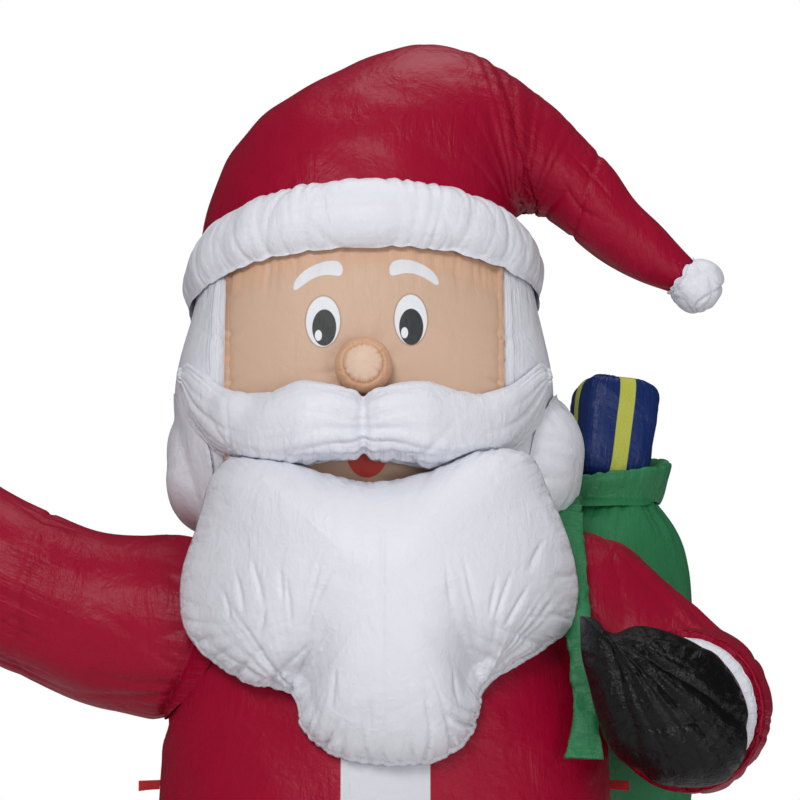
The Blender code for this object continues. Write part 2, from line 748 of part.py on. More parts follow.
def build_waving_arm(coat_cutter):
    shoulder = (-coat_half(SHOULDER_Z)[0], 0.0, SHOULDER_Z)
    rows = [
        (shoulder[0] + side * SLEEVE_WIDTH, 0, shoulder[2] + rise * SLEEVE_WIDTH, lean, 0,
         half * SLEEVE_WIDTH, half * SLEEVE_WIDTH * 0.96)
        for side, rise, lean, half in smooth_rows(WAVING_SECTIONS, 11)
    ]
    sleeve = skin("waving_sleeve", section_rings(rows, 14), CLOTH)
    sleeve_form = grown(sleeve)
    cut(sleeve, coat_cutter)

    wrist, lean = rows[-1][:3], rows[-1][3]
    angle = math.radians(lean)
    ahead = np.array([math.sin(angle), 0, math.cos(angle)])
    half = rows[-1][5]
    cuff_rows = []
    for along, proud in ((0.0, 0.0), (0.18, 1.0), (0.82, 1.0), (1.0, 0.2)):
        at = np.array(wrist) + ahead * (CLEARANCE + along * CUFF_LENGTH)
        cuff_rows.append((*at, lean, 0, half + proud * CUFF_PROUD, half + proud * CUFF_PROUD))
    cuff = skin("waving_cuff", section_rings(cuff_rows, 14), FUR)

    start = np.array(wrist) + ahead * (2 * CLEARANCE + CUFF_LENGTH)
    mitten_rows = []
    widths = ((0.0, 0.70), (0.12, 0.86), (0.35, 1.0), (0.60, 0.98), (0.80, 0.82), (0.93, 0.54), (1.0, 0.12))
    for along, wide in widths:
        at = start + ahead * along * MITTEN_LENGTH
        mitten_rows.append((*at, lean, 0, wide * MITTEN_WIDTH / 2, wide * MITTEN_THICKNESS / 2))
    mitten = skin("waving_mitten", section_rings(mitten_rows, 14), LEATHER)
    across = np.array([math.cos(angle), 0, -math.sin(angle)])
    bpy.ops.mesh.primitive_uv_sphere_add(segments=10, ring_count=7, radius=1)
    thumb = place(bpy.context.object, "waving_thumb", LEATHER)
    thumb.scale = (THUMB_RADIUS, THUMB_RADIUS * 0.9, THUMB_RADIUS * 1.75)
    thumb.rotation_euler.y = angle + math.radians(38)
    thumb.location = start + ahead * MITTEN_LENGTH * 0.38 + across * MITTEN_WIDTH * 0.50
    apply_transform(thumb)
    join_piece(mitten, thumb)
    return sleeve, sleeve_form


def join_piece(obj, other):
    combine(obj, other, "UNION")
    bake(obj)
    keep_largest(obj)
    bpy.data.objects.remove(other)


def build_holding_arm(coat_cutter):
    shoulder = (coat_half(SHOULDER_Z)[0], 0.0, SHOULDER_Z)
    rows = [
        (shoulder[0] + side * SLEEVE_WIDTH, -ahead * SLEEVE_WIDTH, shoulder[2] + rise * SLEEVE_WIDTH,
         lean, turn, half * SLEEVE_WIDTH, half * SLEEVE_WIDTH)
        for side, ahead, rise, lean, turn, half in smooth_rows(HOLDING_SECTIONS, 11)
    ]
    sleeve = skin("holding_sleeve", section_rings(rows, 14), CLOTH)
    sleeve_form = grown(sleeve)
    cut(sleeve, coat_cutter)
    x, y, z, lean, turn, half = rows[-1][:6]
    lean_angle, turn_angle = math.radians(lean), math.radians(turn)
    ahead = np.array([
        math.sin(lean_angle) * math.cos(turn_angle),
        math.sin(lean_angle) * math.sin(turn_angle),
        math.cos(lean_angle),
    ])
    wrist = np.array([x, y, z])
    cuff_rows = []
    for along, share in ((0.0, 0.91), (0.45, 0.88), (0.85, 0.78), (1.0, 0.62)):
        at = wrist + ahead * (CLEARANCE + along * CUFF_LENGTH * 0.45)
        cuff_rows.append((*at, lean, turn, half * share, half * share))
    cuff = skin("holding_cuff", section_rings(cuff_rows, 14), FUR)
    cuff_form = grown(cuff)
    cut(cuff, coat_cutter)

    centre = wrist + ahead * (CUFF_LENGTH * 0.45 + MITTEN_THICKNESS * 0.30)
    centre += MITTEN_LENGTH * np.array([0.045, 0.0, 0.015])
    bpy.ops.mesh.primitive_uv_sphere_add(segments=12, ring_count=8, radius=1)
    mitten = place(bpy.context.object, "holding_mitten", LEATHER)
    mitten.scale = (MITTEN_WIDTH * 0.50, MITTEN_THICKNESS * 0.55, MITTEN_LENGTH * 0.48)
    mitten.rotation_euler.y = math.radians(-43)
    mitten.location = centre
    apply_transform(mitten)
    bpy.ops.mesh.primitive_uv_sphere_add(segments=8, ring_count=6, radius=1)
    thumb = place(bpy.context.object, "holding_thumb", LEATHER)
    thumb.scale = (THUMB_RADIUS * 0.9, THUMB_RADIUS, THUMB_RADIUS * 1.8)
    thumb.rotation_euler.y = math.radians(-40)
    thumb.location = centre + MITTEN_LENGTH * np.array([-0.305, 0.0, 0.27])
    apply_transform(thumb)
    join_piece(mitten, thumb)
    mitten_form = grown(mitten)
    cut(mitten, coat_cutter, sleeve_form, cuff_form)
    return sleeve, sleeve_form, mitten_form


def build_sack(*cutters):
    foot_z = SHOULDER_Z + SACK_ABOVE_SHOULDER - SACK_HEIGHT
    rows = []
    for high, wide, out, back in smooth_rows(SACK_SECTIONS, 10):
        half = wide * SACK_WIDTH / 2
        x = SACK_OUT * COAT_WIDTH + out * SACK_WIDTH
        y = SACK_BACK * COAT_DEPTH + back * SACK_WIDTH
        rows.append((x, y, foot_z + high * SACK_HEIGHT, 0, 0, half, half * 0.94))
    sack = skin("sack", section_rings(rows, 18), SACKCLOTH)
    sack_form = grown(sack)
    cut(sack, *cutters)
    neck = rows[-1]
    return sack, sack_form, (neck[0], neck[1], neck[2])


def build_collar(neck, *cutters):
    """The sack's gathered mouth: a short flared band round the present."""
    rows = []
    for along, share in ((-0.15, 0.80), (0.10, 0.93), (0.55, 1.0), (0.90, 1.06), (1.0, 0.97)):
        z = neck[2] + along * COLLAR_HEIGHT
        x = neck[0] + along * COLLAR_HEIGHT * 0.18
        rows.append((x, neck[1], z, -5, 0, share * COLLAR_WIDTH / 2, share * COLLAR_WIDTH * 0.44))
    collar = skin("sack_collar", section_rings(rows, 16), SACKCLOTH)
    collar_form = grown(collar)
    cut(collar, *cutters)
    return collar, collar_form


def build_present(neck):
    """A puffed box with rounded edges, standing in the sack's mouth."""
    bpy.ops.mesh.primitive_cube_add(size=1)
    present = place(bpy.context.object, "present", WRAPPING)
    for vert in present.data.vertices:
        swell = 1.04 if vert.co.z > 0 else 0.92
        wide = PRESENT_WIDTH * swell
        vert.co = (vert.co.x * wide, vert.co.y * wide, vert.co.z * PRESENT_HEIGHT)
    round_edges = present.modifiers.new("Edges", "BEVEL")
    round_edges.width = PRESENT_ROUND
    round_edges.segments = 2
    round_edges.limit_method = "NONE"
    present.rotation_euler = (math.radians(-3), math.radians(8), math.radians(14))
    z = neck[2] + COLLAR_HEIGHT + PRESENT_SHOW - PRESENT_HEIGHT / 2
    present.location = (neck[0] + PRESENT_OUT, neck[1] + PRESENT_OUT * 0.2, z)
    bake(present)
    apply_transform(present)
    return present, grown(present)


def build_strap(*cutters):
    rows = []
    for side, ahead, rise, wide in smooth_rows(STRAP_PATH, 12):
        z = SHOULDER_Z + rise * SACK_ABOVE_SHOULDER
        rows.append([side * COAT_WIDTH / 2, -ahead * COAT_DEPTH / 2, z, wide])
    path, widths = np.array(rows)[:, :3], np.array(rows)[:, 3]
    along = np.gradient(path, axis=0)
    along /= np.linalg.norm(along, axis=1)[:, None]
    wide = np.array([1.0, 0.0, 0.0]) - along * along[:, :1]
    wide /= np.linalg.norm(wide, axis=1)[:, None]
    thick = np.cross(along, wide)
    angles = np.linspace(0, 2 * math.pi, 4, endpoint=False) + math.pi / 4
    rings = [
        centre + np.cos(angles)[:, None] * w * size * STRAP_WIDTH * 0.7
        + np.sin(angles)[:, None] * t * STRAP_THICKNESS * 0.7
        for centre, w, t, size in zip(path, wide, thick, widths)
    ]
    strap = skin("sack_strap", np.array(rings), SACKCLOTH)
    cut(strap, *cutters)
    return strap


def build_figure():
    build_base()
    coat = build_coat()
    coat_form = grown(coat)
    legs = []
    for side, name in ((-1, "right"), (1, "left")):
        boot = build_boot(side, name + "_boot")
        leg = build_leg(side, name + "_leg")
        build_boot_cuff(side, name + "_boot_cuff", boot, leg)
        build_tab(side, name + "_tether_tab", coat)
        legs.append(leg)
    build_hem(coat, legs)
    belt, belt_form = build_belt(coat)
    build_buckle(coat, belt)

    form = build_head_form()
    head_form = grown(form)
    split_head(form, coat_form)
    bpy.data.objects.remove(form)
    hat, hat_form = build_hat(head_form)
    brim, brim_form = build_brim(head_form, hat_form)
    build_pompom(hat_form)
    whiskers, whiskers_form = build_whiskers(coat_form, head_form)
    nose, nose_form = build_nose(head_form)

    sleeve, waving_form = build_waving_arm(coat_form)
    sleeve, holding_form, mitten_form = build_holding_arm(coat_form)
    cut(bpy.data.objects["waving_sleeve"], head_form, whiskers_form)
    cut(bpy.data.objects["holding_sleeve"], head_form, whiskers_form)
    beard, beard_form = build_beard(
        coat_form, head_form, whiskers_form, waving_form, holding_form, mitten_form
    )
    build_moustache(head_form, beard_form, nose_form, whiskers_form)

    sack, sack_form, neck = build_sack(coat_form, belt_form, holding_form, head_form, whiskers_form)
    present, present_form = build_present(neck)
    cut(present, sack_form, whiskers_form)
    collar, collar_form = build_collar(neck, head_form, whiskers_form, sack_form, present_form, holding_form)
    build_strap(
        coat_form, holding_form, mitten_form, beard_form, whiskers_form, sack_form, collar_form, head_form
    )


clear_scene()
PIECES = new_collection("inflatable_santa")
CUTTERS = new_collection("cutters")
CLOTH = nylon("red_nylon", RED)
FUR = nylon("white_nylon", WHITE)
SNOW = nylon("white_base_nylon", WHITE, 0.55)
SKIN_CLOTH = nylon("skin_nylon", SKIN)
NOSE_CLOTH = nylon("nose_nylon", NOSE_PINK)
LEATHER = nylon("black_nylon", BLACK, 0.40)
SACKCLOTH = nylon("green_nylon", GREEN)
WRAPPING = nylon("blue_nylon", BLUE)
GOLD = nylon("yellow_nylon", YELLOW)
WEBBING = nylon("red_webbing", WEBBING_RED, 0.6)
build_figure()
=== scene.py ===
"""Inflatable Santa, 3.65 m tall, sewn from nylon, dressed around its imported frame. For Blender 4.5.

The figure faces -Y, +Z is up, and lengths are metres. Each chamber of the figure is one closed surface,
worked out with numpy as a grid of two parameters: rows along the chamber and columns round it. Folds that
are gathered into the seams push the grid in along its normals. A piece is then kept clear of the pieces
that it was sewn against, and it stands for the plain solid of the same name.
"""

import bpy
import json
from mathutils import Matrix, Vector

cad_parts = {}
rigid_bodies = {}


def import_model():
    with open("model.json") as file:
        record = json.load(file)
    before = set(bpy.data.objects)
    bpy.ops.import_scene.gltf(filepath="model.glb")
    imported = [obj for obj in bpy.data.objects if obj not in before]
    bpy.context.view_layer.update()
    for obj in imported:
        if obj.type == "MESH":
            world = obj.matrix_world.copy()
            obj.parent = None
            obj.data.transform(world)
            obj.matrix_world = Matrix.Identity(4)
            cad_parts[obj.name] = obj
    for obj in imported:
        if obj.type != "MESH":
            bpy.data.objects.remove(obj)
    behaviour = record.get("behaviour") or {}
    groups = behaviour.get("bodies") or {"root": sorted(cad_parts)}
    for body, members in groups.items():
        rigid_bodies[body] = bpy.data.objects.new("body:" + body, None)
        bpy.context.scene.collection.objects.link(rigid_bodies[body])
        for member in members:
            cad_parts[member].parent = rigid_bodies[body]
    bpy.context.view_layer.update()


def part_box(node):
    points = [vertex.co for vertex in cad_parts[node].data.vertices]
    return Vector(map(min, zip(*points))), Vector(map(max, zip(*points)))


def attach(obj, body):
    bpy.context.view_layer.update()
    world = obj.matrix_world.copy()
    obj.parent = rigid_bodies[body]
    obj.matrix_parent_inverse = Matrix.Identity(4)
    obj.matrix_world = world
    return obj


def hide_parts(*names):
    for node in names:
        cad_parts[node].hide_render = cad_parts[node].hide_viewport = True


bl_info = {
    "name": "Inflatable Santa",
    "version": (1, 0, 0),
    "blender": (4, 5, 0),
    "location": "View3D > Sidebar > Santa",
    "description": "A sewn and inflated nylon figure with gathered seams, made around a fixed frame",
    "category": "Object",
}

import json
import math

import bpy
import numpy as np
from mathutils import Euler, Vector

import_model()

BASE_WIDTH = 1.30
BASE_DEPTH = 1.06
BASE_HEIGHT = 0.09
STANCE = 0.27
BOOT_WIDTH = 0.42
BOOT_LENGTH = 0.72
BOOT_HEIGHT = 0.38
BOOT_CUFF_PUFF = 0.055
LEG_WIDTH = 0.40
LEG_SHOW = 0.19
COAT_WIDTH = 1.24
COAT_DEPTH = 0.94
COAT_HEIGHT = 1.80
COAT_SQUARENESS = 2.1
HEM_PUFF = 0.085
BELT_RISE = 0.77
BELT_HEIGHT = 0.15
BELT_PROUD = 0.018
BUCKLE_SIZE = 0.25
BUCKLE_BAR = 0.045
BUCKLE_THICKNESS = 0.05
TAB_DROP = 0.38
TAB_REACH = 0.055
TAB_WIDTH = 0.026
TAB_THICKNESS = 0.004
NECK_SINK = 0.24
HEAD_OFFSET = -0.047
HEAD_WIDTH = 0.95
HEAD_DEPTH = 0.82
HEAD_HEIGHT = 1.02
HEAD_SQUARENESS = 2.3
FACE_WIDTH = 0.68
NOSE_RADIUS = 0.069
NOSE_DROP = 0.48
WHISKER_RISE = 0.36
WHISKER_HEIGHT = 0.36
WHISKER_PUFF = 0.27
WHISKER_SPAN = 1.05
MOUSTACHE_RISE = 0.40
MOUSTACHE_HALF_SPAN = 0.45
MOUSTACHE_PROUD = 0.055
BEARD_HALF_WIDTH = 0.485
BEARD_RISE = -0.02
BEARD_PUFF = 0.20
BEARD_TUCK = 0.13
BEARD_HANG = 0.35
BEARD_STAND = 0.015
BRIM_DROP = 0.150
BRIM_PUFF = 0.092
BRIM_TILT = 10.0
BRIM_SHIFT = 0.006
HAT_WIDTH = 0.80
HAT_RISE = 0.01
POMPOM_RADIUS = 0.072
SLEEVE_WIDTH = 0.47
SHOULDER_DROP = 0.30
CUFF_LENGTH = 0.10
CUFF_PROUD = 0.02
MITTEN_LENGTH = 0.45
MITTEN_THICKNESS = 0.27
SACK_WIDTH = 0.74
SACK_HEIGHT = 1.16
SACK_ABOVE_SHOULDER = 0.35
SACK_OUT = 0.363
SACK_BACK = 0.425
COLLAR_WIDTH = 0.37
COLLAR_HEIGHT = 0.11
PRESENT_WIDTH = 0.205
PRESENT_HEIGHT = 0.285
PRESENT_SHOW = 0.22
PRESENT_OUT = 0.055
STRAP_WIDTH = 0.07
STRAP_THICKNESS = 0.030
ARMHOLE_RADIUS = 0.235
BAND_EDGE = 3.047
BAND_EDGE_DROP = 0.62
HAT_CORNER = (0.352, 3.165)
HAT_ROWS = 216
HAT_BEND_ROW = 108
HAT_NOTCH_ROW = 156
ELBOW_ROW = 96
HOLDING_MITTEN_PLACE = (0.662, 1.956)
THUMB_ROOT = (0.500, 2.140)
FACE_COLUMNS = 124
HAIR_COLUMNS = 170
FLOOR_HALF = 14
CAMERA_PLACE = (0.04, -8.0, 1.57)
CAMERA_AIM_HEIGHT = 2.742
CAMERA_LENS = 144.38

COAT_BOTTOM = BASE_HEIGHT + BOOT_HEIGHT + LEG_SHOW
COAT_TOP = COAT_BOTTOM + COAT_HEIGHT
HEAD_BOTTOM = COAT_TOP - NECK_SINK
HEAD_TOP = HEAD_BOTTOM + HEAD_HEIGHT
BRIM_Z = HEAD_TOP - BRIM_DROP
SHOULDER_Z = COAT_TOP - SHOULDER_DROP
BELT_Z = COAT_BOTTOM + BELT_RISE

# Sections of the coat from hem to neck: share of height, of half width and of half depth.
COAT_SECTIONS = (
    (0.00, 0.900, 0.900),
    (0.10, 0.985, 0.985),
    (0.22, 1.000, 1.000),
    (0.42, 0.965, 0.980),
    (0.60, 0.900, 0.925),
    (0.72, 0.872, 0.885),
    (0.83, 0.830, 0.830),
    (0.91, 0.720, 0.740),
    (0.965, 0.500, 0.540),
    (1.00, 0.150, 0.160),
)

# Sections of the head from neck to crown: share of height, of half width and of half depth.
HEAD_SECTIONS = (
    (0.00, 0.55, 0.60),
    (0.14, 0.80, 0.80),
    (0.30, 0.95, 0.93),
    (0.45, 1.00, 1.00),
    (0.57, 1.00, 1.00),
    (0.72, 0.92, 0.97),
    (0.86, 0.84, 0.90),
    (0.95, 0.66, 0.70),
    (1.00, 0.20, 0.22),
)

# Sections of the hat from band to tail, in hat widths: side, rise, lean in degrees, half width, half depth.
HAT_SECTIONS = (
    (-0.012, 0.000, 0, 0.506, 0.475),
    (-0.010, 0.114, 0, 0.505, 0.475),
    (0.018, 0.203, 8, 0.486, 0.460),
    (0.086, 0.292, 20, 0.443, 0.432),
    (0.202, 0.368, 36, 0.381, 0.390),
    (0.322, 0.414, 54, 0.334, 0.340),
    (0.426, 0.406, 68, 0.283, 0.285),
    (0.512, 0.361, 82, 0.224, 0.235),
    (0.593, 0.305, 98, 0.173, 0.195),
    (0.666, 0.237, 107, 0.147, 0.165),
    (0.742, 0.163, 111, 0.133, 0.145),
    (0.824, 0.079, 114, 0.107, 0.118),
    (0.914, 0.010, 118, 0.090, 0.096),
    (1.002, -0.051, 124, 0.067, 0.070),
)

# Sections of the waving sleeve from shoulder to wrist, in sleeve widths: side, rise, lean, half size.
WAVING_SECTIONS = (
    (0.40, -0.07, -83, 0.47),
    (0.00, 0.00, -83, 0.500),
    (-0.25, 0.041, -84, 0.478),
    (-0.48, 0.083, -83, 0.457),
    (-0.70, 0.166, -80, 0.440),
    (-0.97, 0.297, -72, 0.424),
    (-1.21, 0.468, -62, 0.405),
    (-1.42, 0.690, -46, 0.385),
    (-1.53, 0.900, -32, 0.370),
)

# Sections of the sleeve that holds the sack, in sleeve widths: side, forward, rise, lean, turn, half size.
HOLDING_SECTIONS = (
    (-0.34, 0.00, 0.23, 127, 0, 0.43),
    (-0.04, 0.01, 0.09, 128, 0, 0.44),
    (0.22, 0.03, -0.155, 129, 0, 0.44),
    (0.42, 0.14, -0.35, 124, -26, 0.44),
    (0.50, 0.34, -0.435, 111, -60, 0.445),
    (0.485, 0.54, -0.455, 100, -88, 0.435),
    (0.435, 0.70, -0.460, 95, -108, 0.415),
)

# Half of the moustache from centre to tip, in half spans: side, rise, half height and half depth.
MOUSTACHE_SECTIONS = (
    (0.00, -0.014, 0.178, 0.190),
    (0.09, -0.008, 0.197, 0.216),
    (0.20, 0.002, 0.214, 0.240),
    (0.33, -0.004, 0.231, 0.256),
    (0.47, -0.016, 0.211, 0.244),
    (0.62, -0.004, 0.193, 0.222),
    (0.76, 0.067, 0.182, 0.196),
    (0.88, 0.173, 0.167, 0.156),
    (0.96, 0.278, 0.122, 0.107),
    (1.00, 0.333, 0.049, 0.056),
)

# Outline of the beard clockwise from its upper left, in beard half widths: side and rise.
BEARD_OUTLINE = (
    (-0.76, 0.735), (-0.86, 0.63), (-0.93, 0.40), (-1.00, 0.20), (-1.015, 0.04), (-0.99, -0.11),
    (-0.89, -0.25), (-0.70, -0.385), (-0.555, -0.435), (-0.43, -0.49), (-0.41, -0.60),
    (-0.32, -0.71), (-0.19, -0.775), (-0.02, -0.805), (0.14, -0.805), (0.29, -0.775),
    (0.42, -0.68), (0.475, -0.55), (0.505, -0.43), (0.66, -0.335), (0.83, -0.21),
    (0.935, -0.10), (0.97, 0.06), (0.955, 0.20), (0.91, 0.36), (0.82, 0.565), (0.72, 0.74),
    (0.49, 0.75), (0.23, 0.64), (-0.015, 0.585), (-0.22, 0.61), (-0.50, 0.70),
)
BEARD_NOTCHES = ((-0.43, -0.49, -0.27, 0.04), (0.505, -0.43, 0.31, 0.06))

# Creases of the beard, from one end to the other, in half widths of the beard.
BEARD_CREASES = (
    (-0.50, 0.15, -0.48, -0.05), (-0.47, 0.11, -0.43, -0.20), (-0.29, 0.20, -0.40, -0.23),
    (-0.24, 0.13, -0.34, -0.08), (-0.64, 0.20, -0.57, -0.06), (-0.72, 0.14, -0.67, -0.08),
    (0.30, 0.16, 0.33, -0.07), (0.38, 0.20, 0.48, -0.22), (0.55, 0.11, 0.51, -0.13),
    (0.62, 0.14, 0.53, -0.16), (0.78, 0.31, 0.69, 0.11), (0.71, 0.08, 0.58, -0.17),
    (-0.22, -0.34, -0.25, -0.56), (0.41, -0.08, 0.45, -0.28), (-0.32, -0.06, -0.38, -0.26),
    (-0.56, -0.04, -0.60, -0.22), (-0.78, 0.05, -0.74, -0.12), (0.84, 0.02, 0.76, -0.10),
    (0.34, -0.34, 0.38, -0.55), (0.20, -0.46, 0.24, -0.66), (-0.06, -0.50, -0.07, -0.68),
)

# Outline of the mitten round the sack's strap, from the tip of its thumb, in metres from its middle.
HOLDING_MITTEN_OUTLINE = (
    (-0.200, 0.205), (-0.165, 0.200), (-0.128, 0.176), (-0.056, 0.184), (0.034, 0.162), (0.112, 0.124),
    (0.168, 0.054), (0.194, -0.026), (0.182, -0.126), (0.136, -0.182), (0.055, -0.196), (-0.030, -0.182),
    (-0.124, -0.112), (-0.158, -0.044), (-0.180, 0.046), (-0.196, 0.114),
)

# Outline of the waving mitten, along it from the cuff and across it towards the thumb, in mitten lengths.
WAVING_MITTEN_OUTLINE = (
    (0.00, -0.24), (0.12, -0.34), (0.32, -0.39), (0.58, -0.385), (0.80, -0.31), (0.94, -0.18), (1.00, 0.00),
    (0.94, 0.18), (0.80, 0.30), (0.68, 0.36), (0.66, 0.47), (0.62, 0.58), (0.52, 0.64), (0.40, 0.60),
    (0.26, 0.47), (0.12, 0.33), (0.00, 0.24),
)

# Sections of the sack from its foot to its neck: share of height, of half width, then side and back shift
# in sack widths.
SACK_SECTIONS = (
    (0.00, 0.30, 0.000, 0.108),
    (0.06, 0.66, 0.000, 0.108),
    (0.20, 0.93, 0.000, 0.081),
    (0.42, 1.00, 0.000, 0.040),
    (0.62, 1.00, 0.000, 0.000),
    (0.78, 0.93, 0.014, -0.040),
    (0.86, 0.84, 0.042, -0.081),
    (0.93, 0.70, 0.077, -0.122),
    (1.00, 0.47, 0.119, -0.149),
)

# Sections of a boot from sole to top: share of height, of half width, of half length, forward shift.
BOOT_SECTIONS = (
    (0.00, 0.86, 0.94, 0.16),
    (0.10, 1.00, 1.00, 0.16),
    (0.30, 0.98, 0.96, 0.155),
    (0.48, 0.88, 0.76, 0.10),
    (0.64, 0.80, 0.58, 0.03),
    (0.85, 0.82, 0.52, 0.00),
    (1.00, 0.84, 0.53, 0.00),
)

# Points of the sack's strap from the sack's neck to its loose end: shares of the coat's half width, of its
# half depth, of the sack's rise above the shoulder, and of the strap's width.
STRAP_PATH = (
    (0.750, -0.34, 0.97, 1.0),
    (0.742, 0.02, 0.92, 1.0),
    (0.742, 0.28, 0.71, 1.0),
    (0.745, 0.47, 0.37, 1.0),
    (0.752, 0.60, 0.00, 1.0),
    (0.760, 0.70, -0.34, 0.8),
    (0.775, 0.75, -0.66, 0.9),
    (0.770, 0.78, -0.94, 1.4),
)

# Marks printed on the face, in metres: side, height, half width and half height. A brow has its middle,
# its top, the way that it runs, its slope and its bend.
EYES = ((-0.145, 2.874, 0.041, 0.062), (0.066, 2.879, 0.039, 0.062))
PUPILS = ((-0.142, 2.859, 0.029, 0.045), (0.067, 2.861, 0.029, 0.045))
GLINTS = ((-0.156, 2.840, 0.0085, 0.0135), (0.051, 2.846, 0.0085, 0.0135))
MOUTH = (-0.039, 2.560, 0.050, 0.061)
BROWS = ((-0.158, 3.0035, 1, 0.340, -6.20), (0.074, 3.0105, -1, 0.231, -6.20))

# Middle and half width of the white strip down the coat's front.
PLACKET = (0.006, 0.105)


def smooth_rows(rows, count):
    """Rows read at even steps from a Catmull-Rom curve: 0.5·(2b + (c - a)t + (2a - 5b + 4c - d)t² +
    (3b - a - 3c + d)t³) between rows b and c, with a before them and d after them."""
    rows = np.array(rows, float)
    padded = np.vstack([2 * rows[0] - rows[1], rows, 2 * rows[-1] - rows[-2]])
    at = np.linspace(0, len(rows) - 1, count)
    whole = np.minimum(at.astype(int), len(rows) - 2)
    t = (at - whole)[:, None]
    a, b, c, d = (padded[whole + step] for step in range(4))
    return 0.5 * (2 * b + (c - a) * t + (2 * a - 5 * b + 4 * c - d) * t**2 + (3 * b - a - 3 * c + d) * t**3)


def turns(count):
    """Even angles once round, without the last, which is the first again."""
    return np.linspace(0, 2 * np.pi, count, endpoint=False)


def apart(angle, other):
    """The angle between two directions, from 0 to pi."""
    return np.abs((angle - other + np.pi) % (2 * np.pi) - np.pi)


def bell(away, width, power=2):
    """Share that is 1 at a seam and falls away from it: exp(-(away / width)^power)."""
    return np.exp(-((away / width) ** power))


def rounded(angles, squareness):
    """Cosine and sine of the angles, raised to 2 / squareness with their signs kept."""
    c, s = np.cos(angles), np.sin(angles)
    power = 2 / squareness
    return np.sign(c) * np.abs(c) ** power, np.sign(s) * np.abs(s) ** power


def section_grid(rows, around, squareness=2.0):
    """Grid of sections: point = centre + half_a·cos·A + half_b·sin·B, for rows of x, y, z, lean, turn,
    half_a and half_b. A leans from +X towards -Z and then turns about Z, and B is level."""
    rows = np.asarray(rows, float)
    c, s = rounded(turns(around), squareness)
    lean, turn = np.radians(rows[:, 3]), np.radians(rows[:, 4])
    a = np.stack([np.cos(lean) * np.cos(turn), np.cos(lean) * np.sin(turn), -np.sin(lean)], 1)
    b = np.stack([-np.sin(turn), np.cos(turn), 0 * turn], 1)
    first = (rows[:, 5, None] * c)[..., None] * a[:, None]
    second = (rows[:, 6, None] * s)[..., None] * b[:, None]
    return rows[:, None, :3] + first + second


def heading(lean, turn=0.0):
    """Unit normal of a section that leans and turns by these degrees."""
    lean, turn = math.radians(lean), math.radians(turn)
    return np.array([math.sin(lean) * math.cos(turn), math.sin(lean) * math.sin(turn), math.cos(lean)])


def close_ends(rows, first=0.0, last=0.0, steps=9):
    """Adds rows that close both ends. Their half sizes shrink with the cosine of an angle from 0 to 90°
    while the centre moves out along the section's normal by the dome's height times the sine."""
    rows = np.asarray(rows, float)
    angle = np.linspace(0, np.pi / 2, steps + 1)[1:]

    def end(row, dome):
        made = np.repeat(row[None], steps, axis=0)
        made[:, :3] += dome * np.sin(angle)[:, None] * heading(row[3], row[4])
        made[:, 5:7] *= np.maximum(np.cos(angle), 0.012)[:, None]
        return made

    return np.vstack([end(rows[0], -first)[::-1], rows, end(rows[-1], last)])


def normals_of(grid, ring=False):
    """Outward unit normals: the cross product of the steps along a row and along a column. A grid whose
    rows also close, as on a tube bent into a ring, is marked ring."""
    if ring:
        along = np.roll(grid, -1, 0) - np.roll(grid, 1, 0)
    else:
        along = np.gradient(grid, axis=0)
    around = np.roll(grid, -1, 1) - np.roll(grid, 1, 1)
    made = np.cross(around, along)
    made /= np.maximum(np.linalg.norm(made, axis=2), 1e-12)[..., None]
    middle = grid.mean(axis=1, keepdims=True)
    return made if np.sum(made * (grid - middle)) > 0 else -made


def columns(grid):
    """Place of each column round the chamber, from 0 to 1."""
    return np.broadcast_to(np.arange(grid.shape[1]) / grid.shape[1], grid.shape[:2])


def reach_along(grid):
    """Distance of each row from the first, along the surface, averaged over the columns."""
    steps = np.linalg.norm(np.diff(grid, axis=0), axis=2).mean(axis=1)
    return np.concatenate([[0.0], np.cumsum(steps)])


def folds(place, away, length, seed, count, width, reach, depth, slant=0.3, uneven=0.0):
    """Depth of the folds that are gathered into a seam. place runs from 0 to 1 along the seam, length is
    the seam's length, and away is the distance from it. With x the distance across fold k, the depth is
    the largest of depth_k·exp(-|x / width_k|^1.3)·exp(-(away / reach_k)^1.6)."""
    source = np.random.default_rng(seed)
    spots = (np.arange(count) + source.uniform(-0.45, 0.45, count)) / count
    leans = source.normal(0, slant, count)
    strengths = source.uniform(0.3, 1.0, count) ** (1.5 + uneven)
    away = np.maximum(away, 0.0)
    made = np.zeros(np.broadcast(place, away).shape)
    for k in range(count):
        x = place - spots[k] - leans[k] * away / length
        x = (x - np.round(x)) * length
        wide = width * source.uniform(0.6, 1.5)
        far = reach * (0.35 + 0.9 * strengths[k])
        shape = bell(np.abs(x), wide, 1.3) * bell(away, far, 1.6)
        made = np.maximum(made, depth * strengths[k] * shape)
    return made * settings().fold_depth


def fan(points, centre, plane, seed, count, spread, start, width, reach, depth):
    """Depth of creases that spread from one point. In the plane of two axes, crease k lies at angle_k: the
    largest of depth_k·exp(-|(angle - angle_k)·r / width_k|^1.3)·exp(-(r / reach_k)²), less near r = 0."""
    source = np.random.default_rng(seed)
    across = points[..., plane[0]] - centre[0]
    up = points[..., plane[1]] - centre[1]
    r = np.hypot(across, up)
    angle = np.degrees(np.arctan2(up, across))
    made = np.zeros(r.shape)
    for k in range(count):
        at = start + spread * (k + source.uniform(0.1, 0.9)) / count
        turn = (angle - at + 180) % 360 - 180
        x = np.radians(turn) * r
        x = np.where(np.abs(turn) < 90, x, 9.0)
        wide = width * source.uniform(0.6, 1.4)
        far = reach * source.uniform(0.5, 1.1)
        shape = bell(np.abs(x), wide, 1.3) * bell(r, far) * np.minimum(r / 0.04, 1)
        made = np.maximum(made, depth * source.uniform(0.4, 1.0) * shape)
    return made * settings().fold_depth


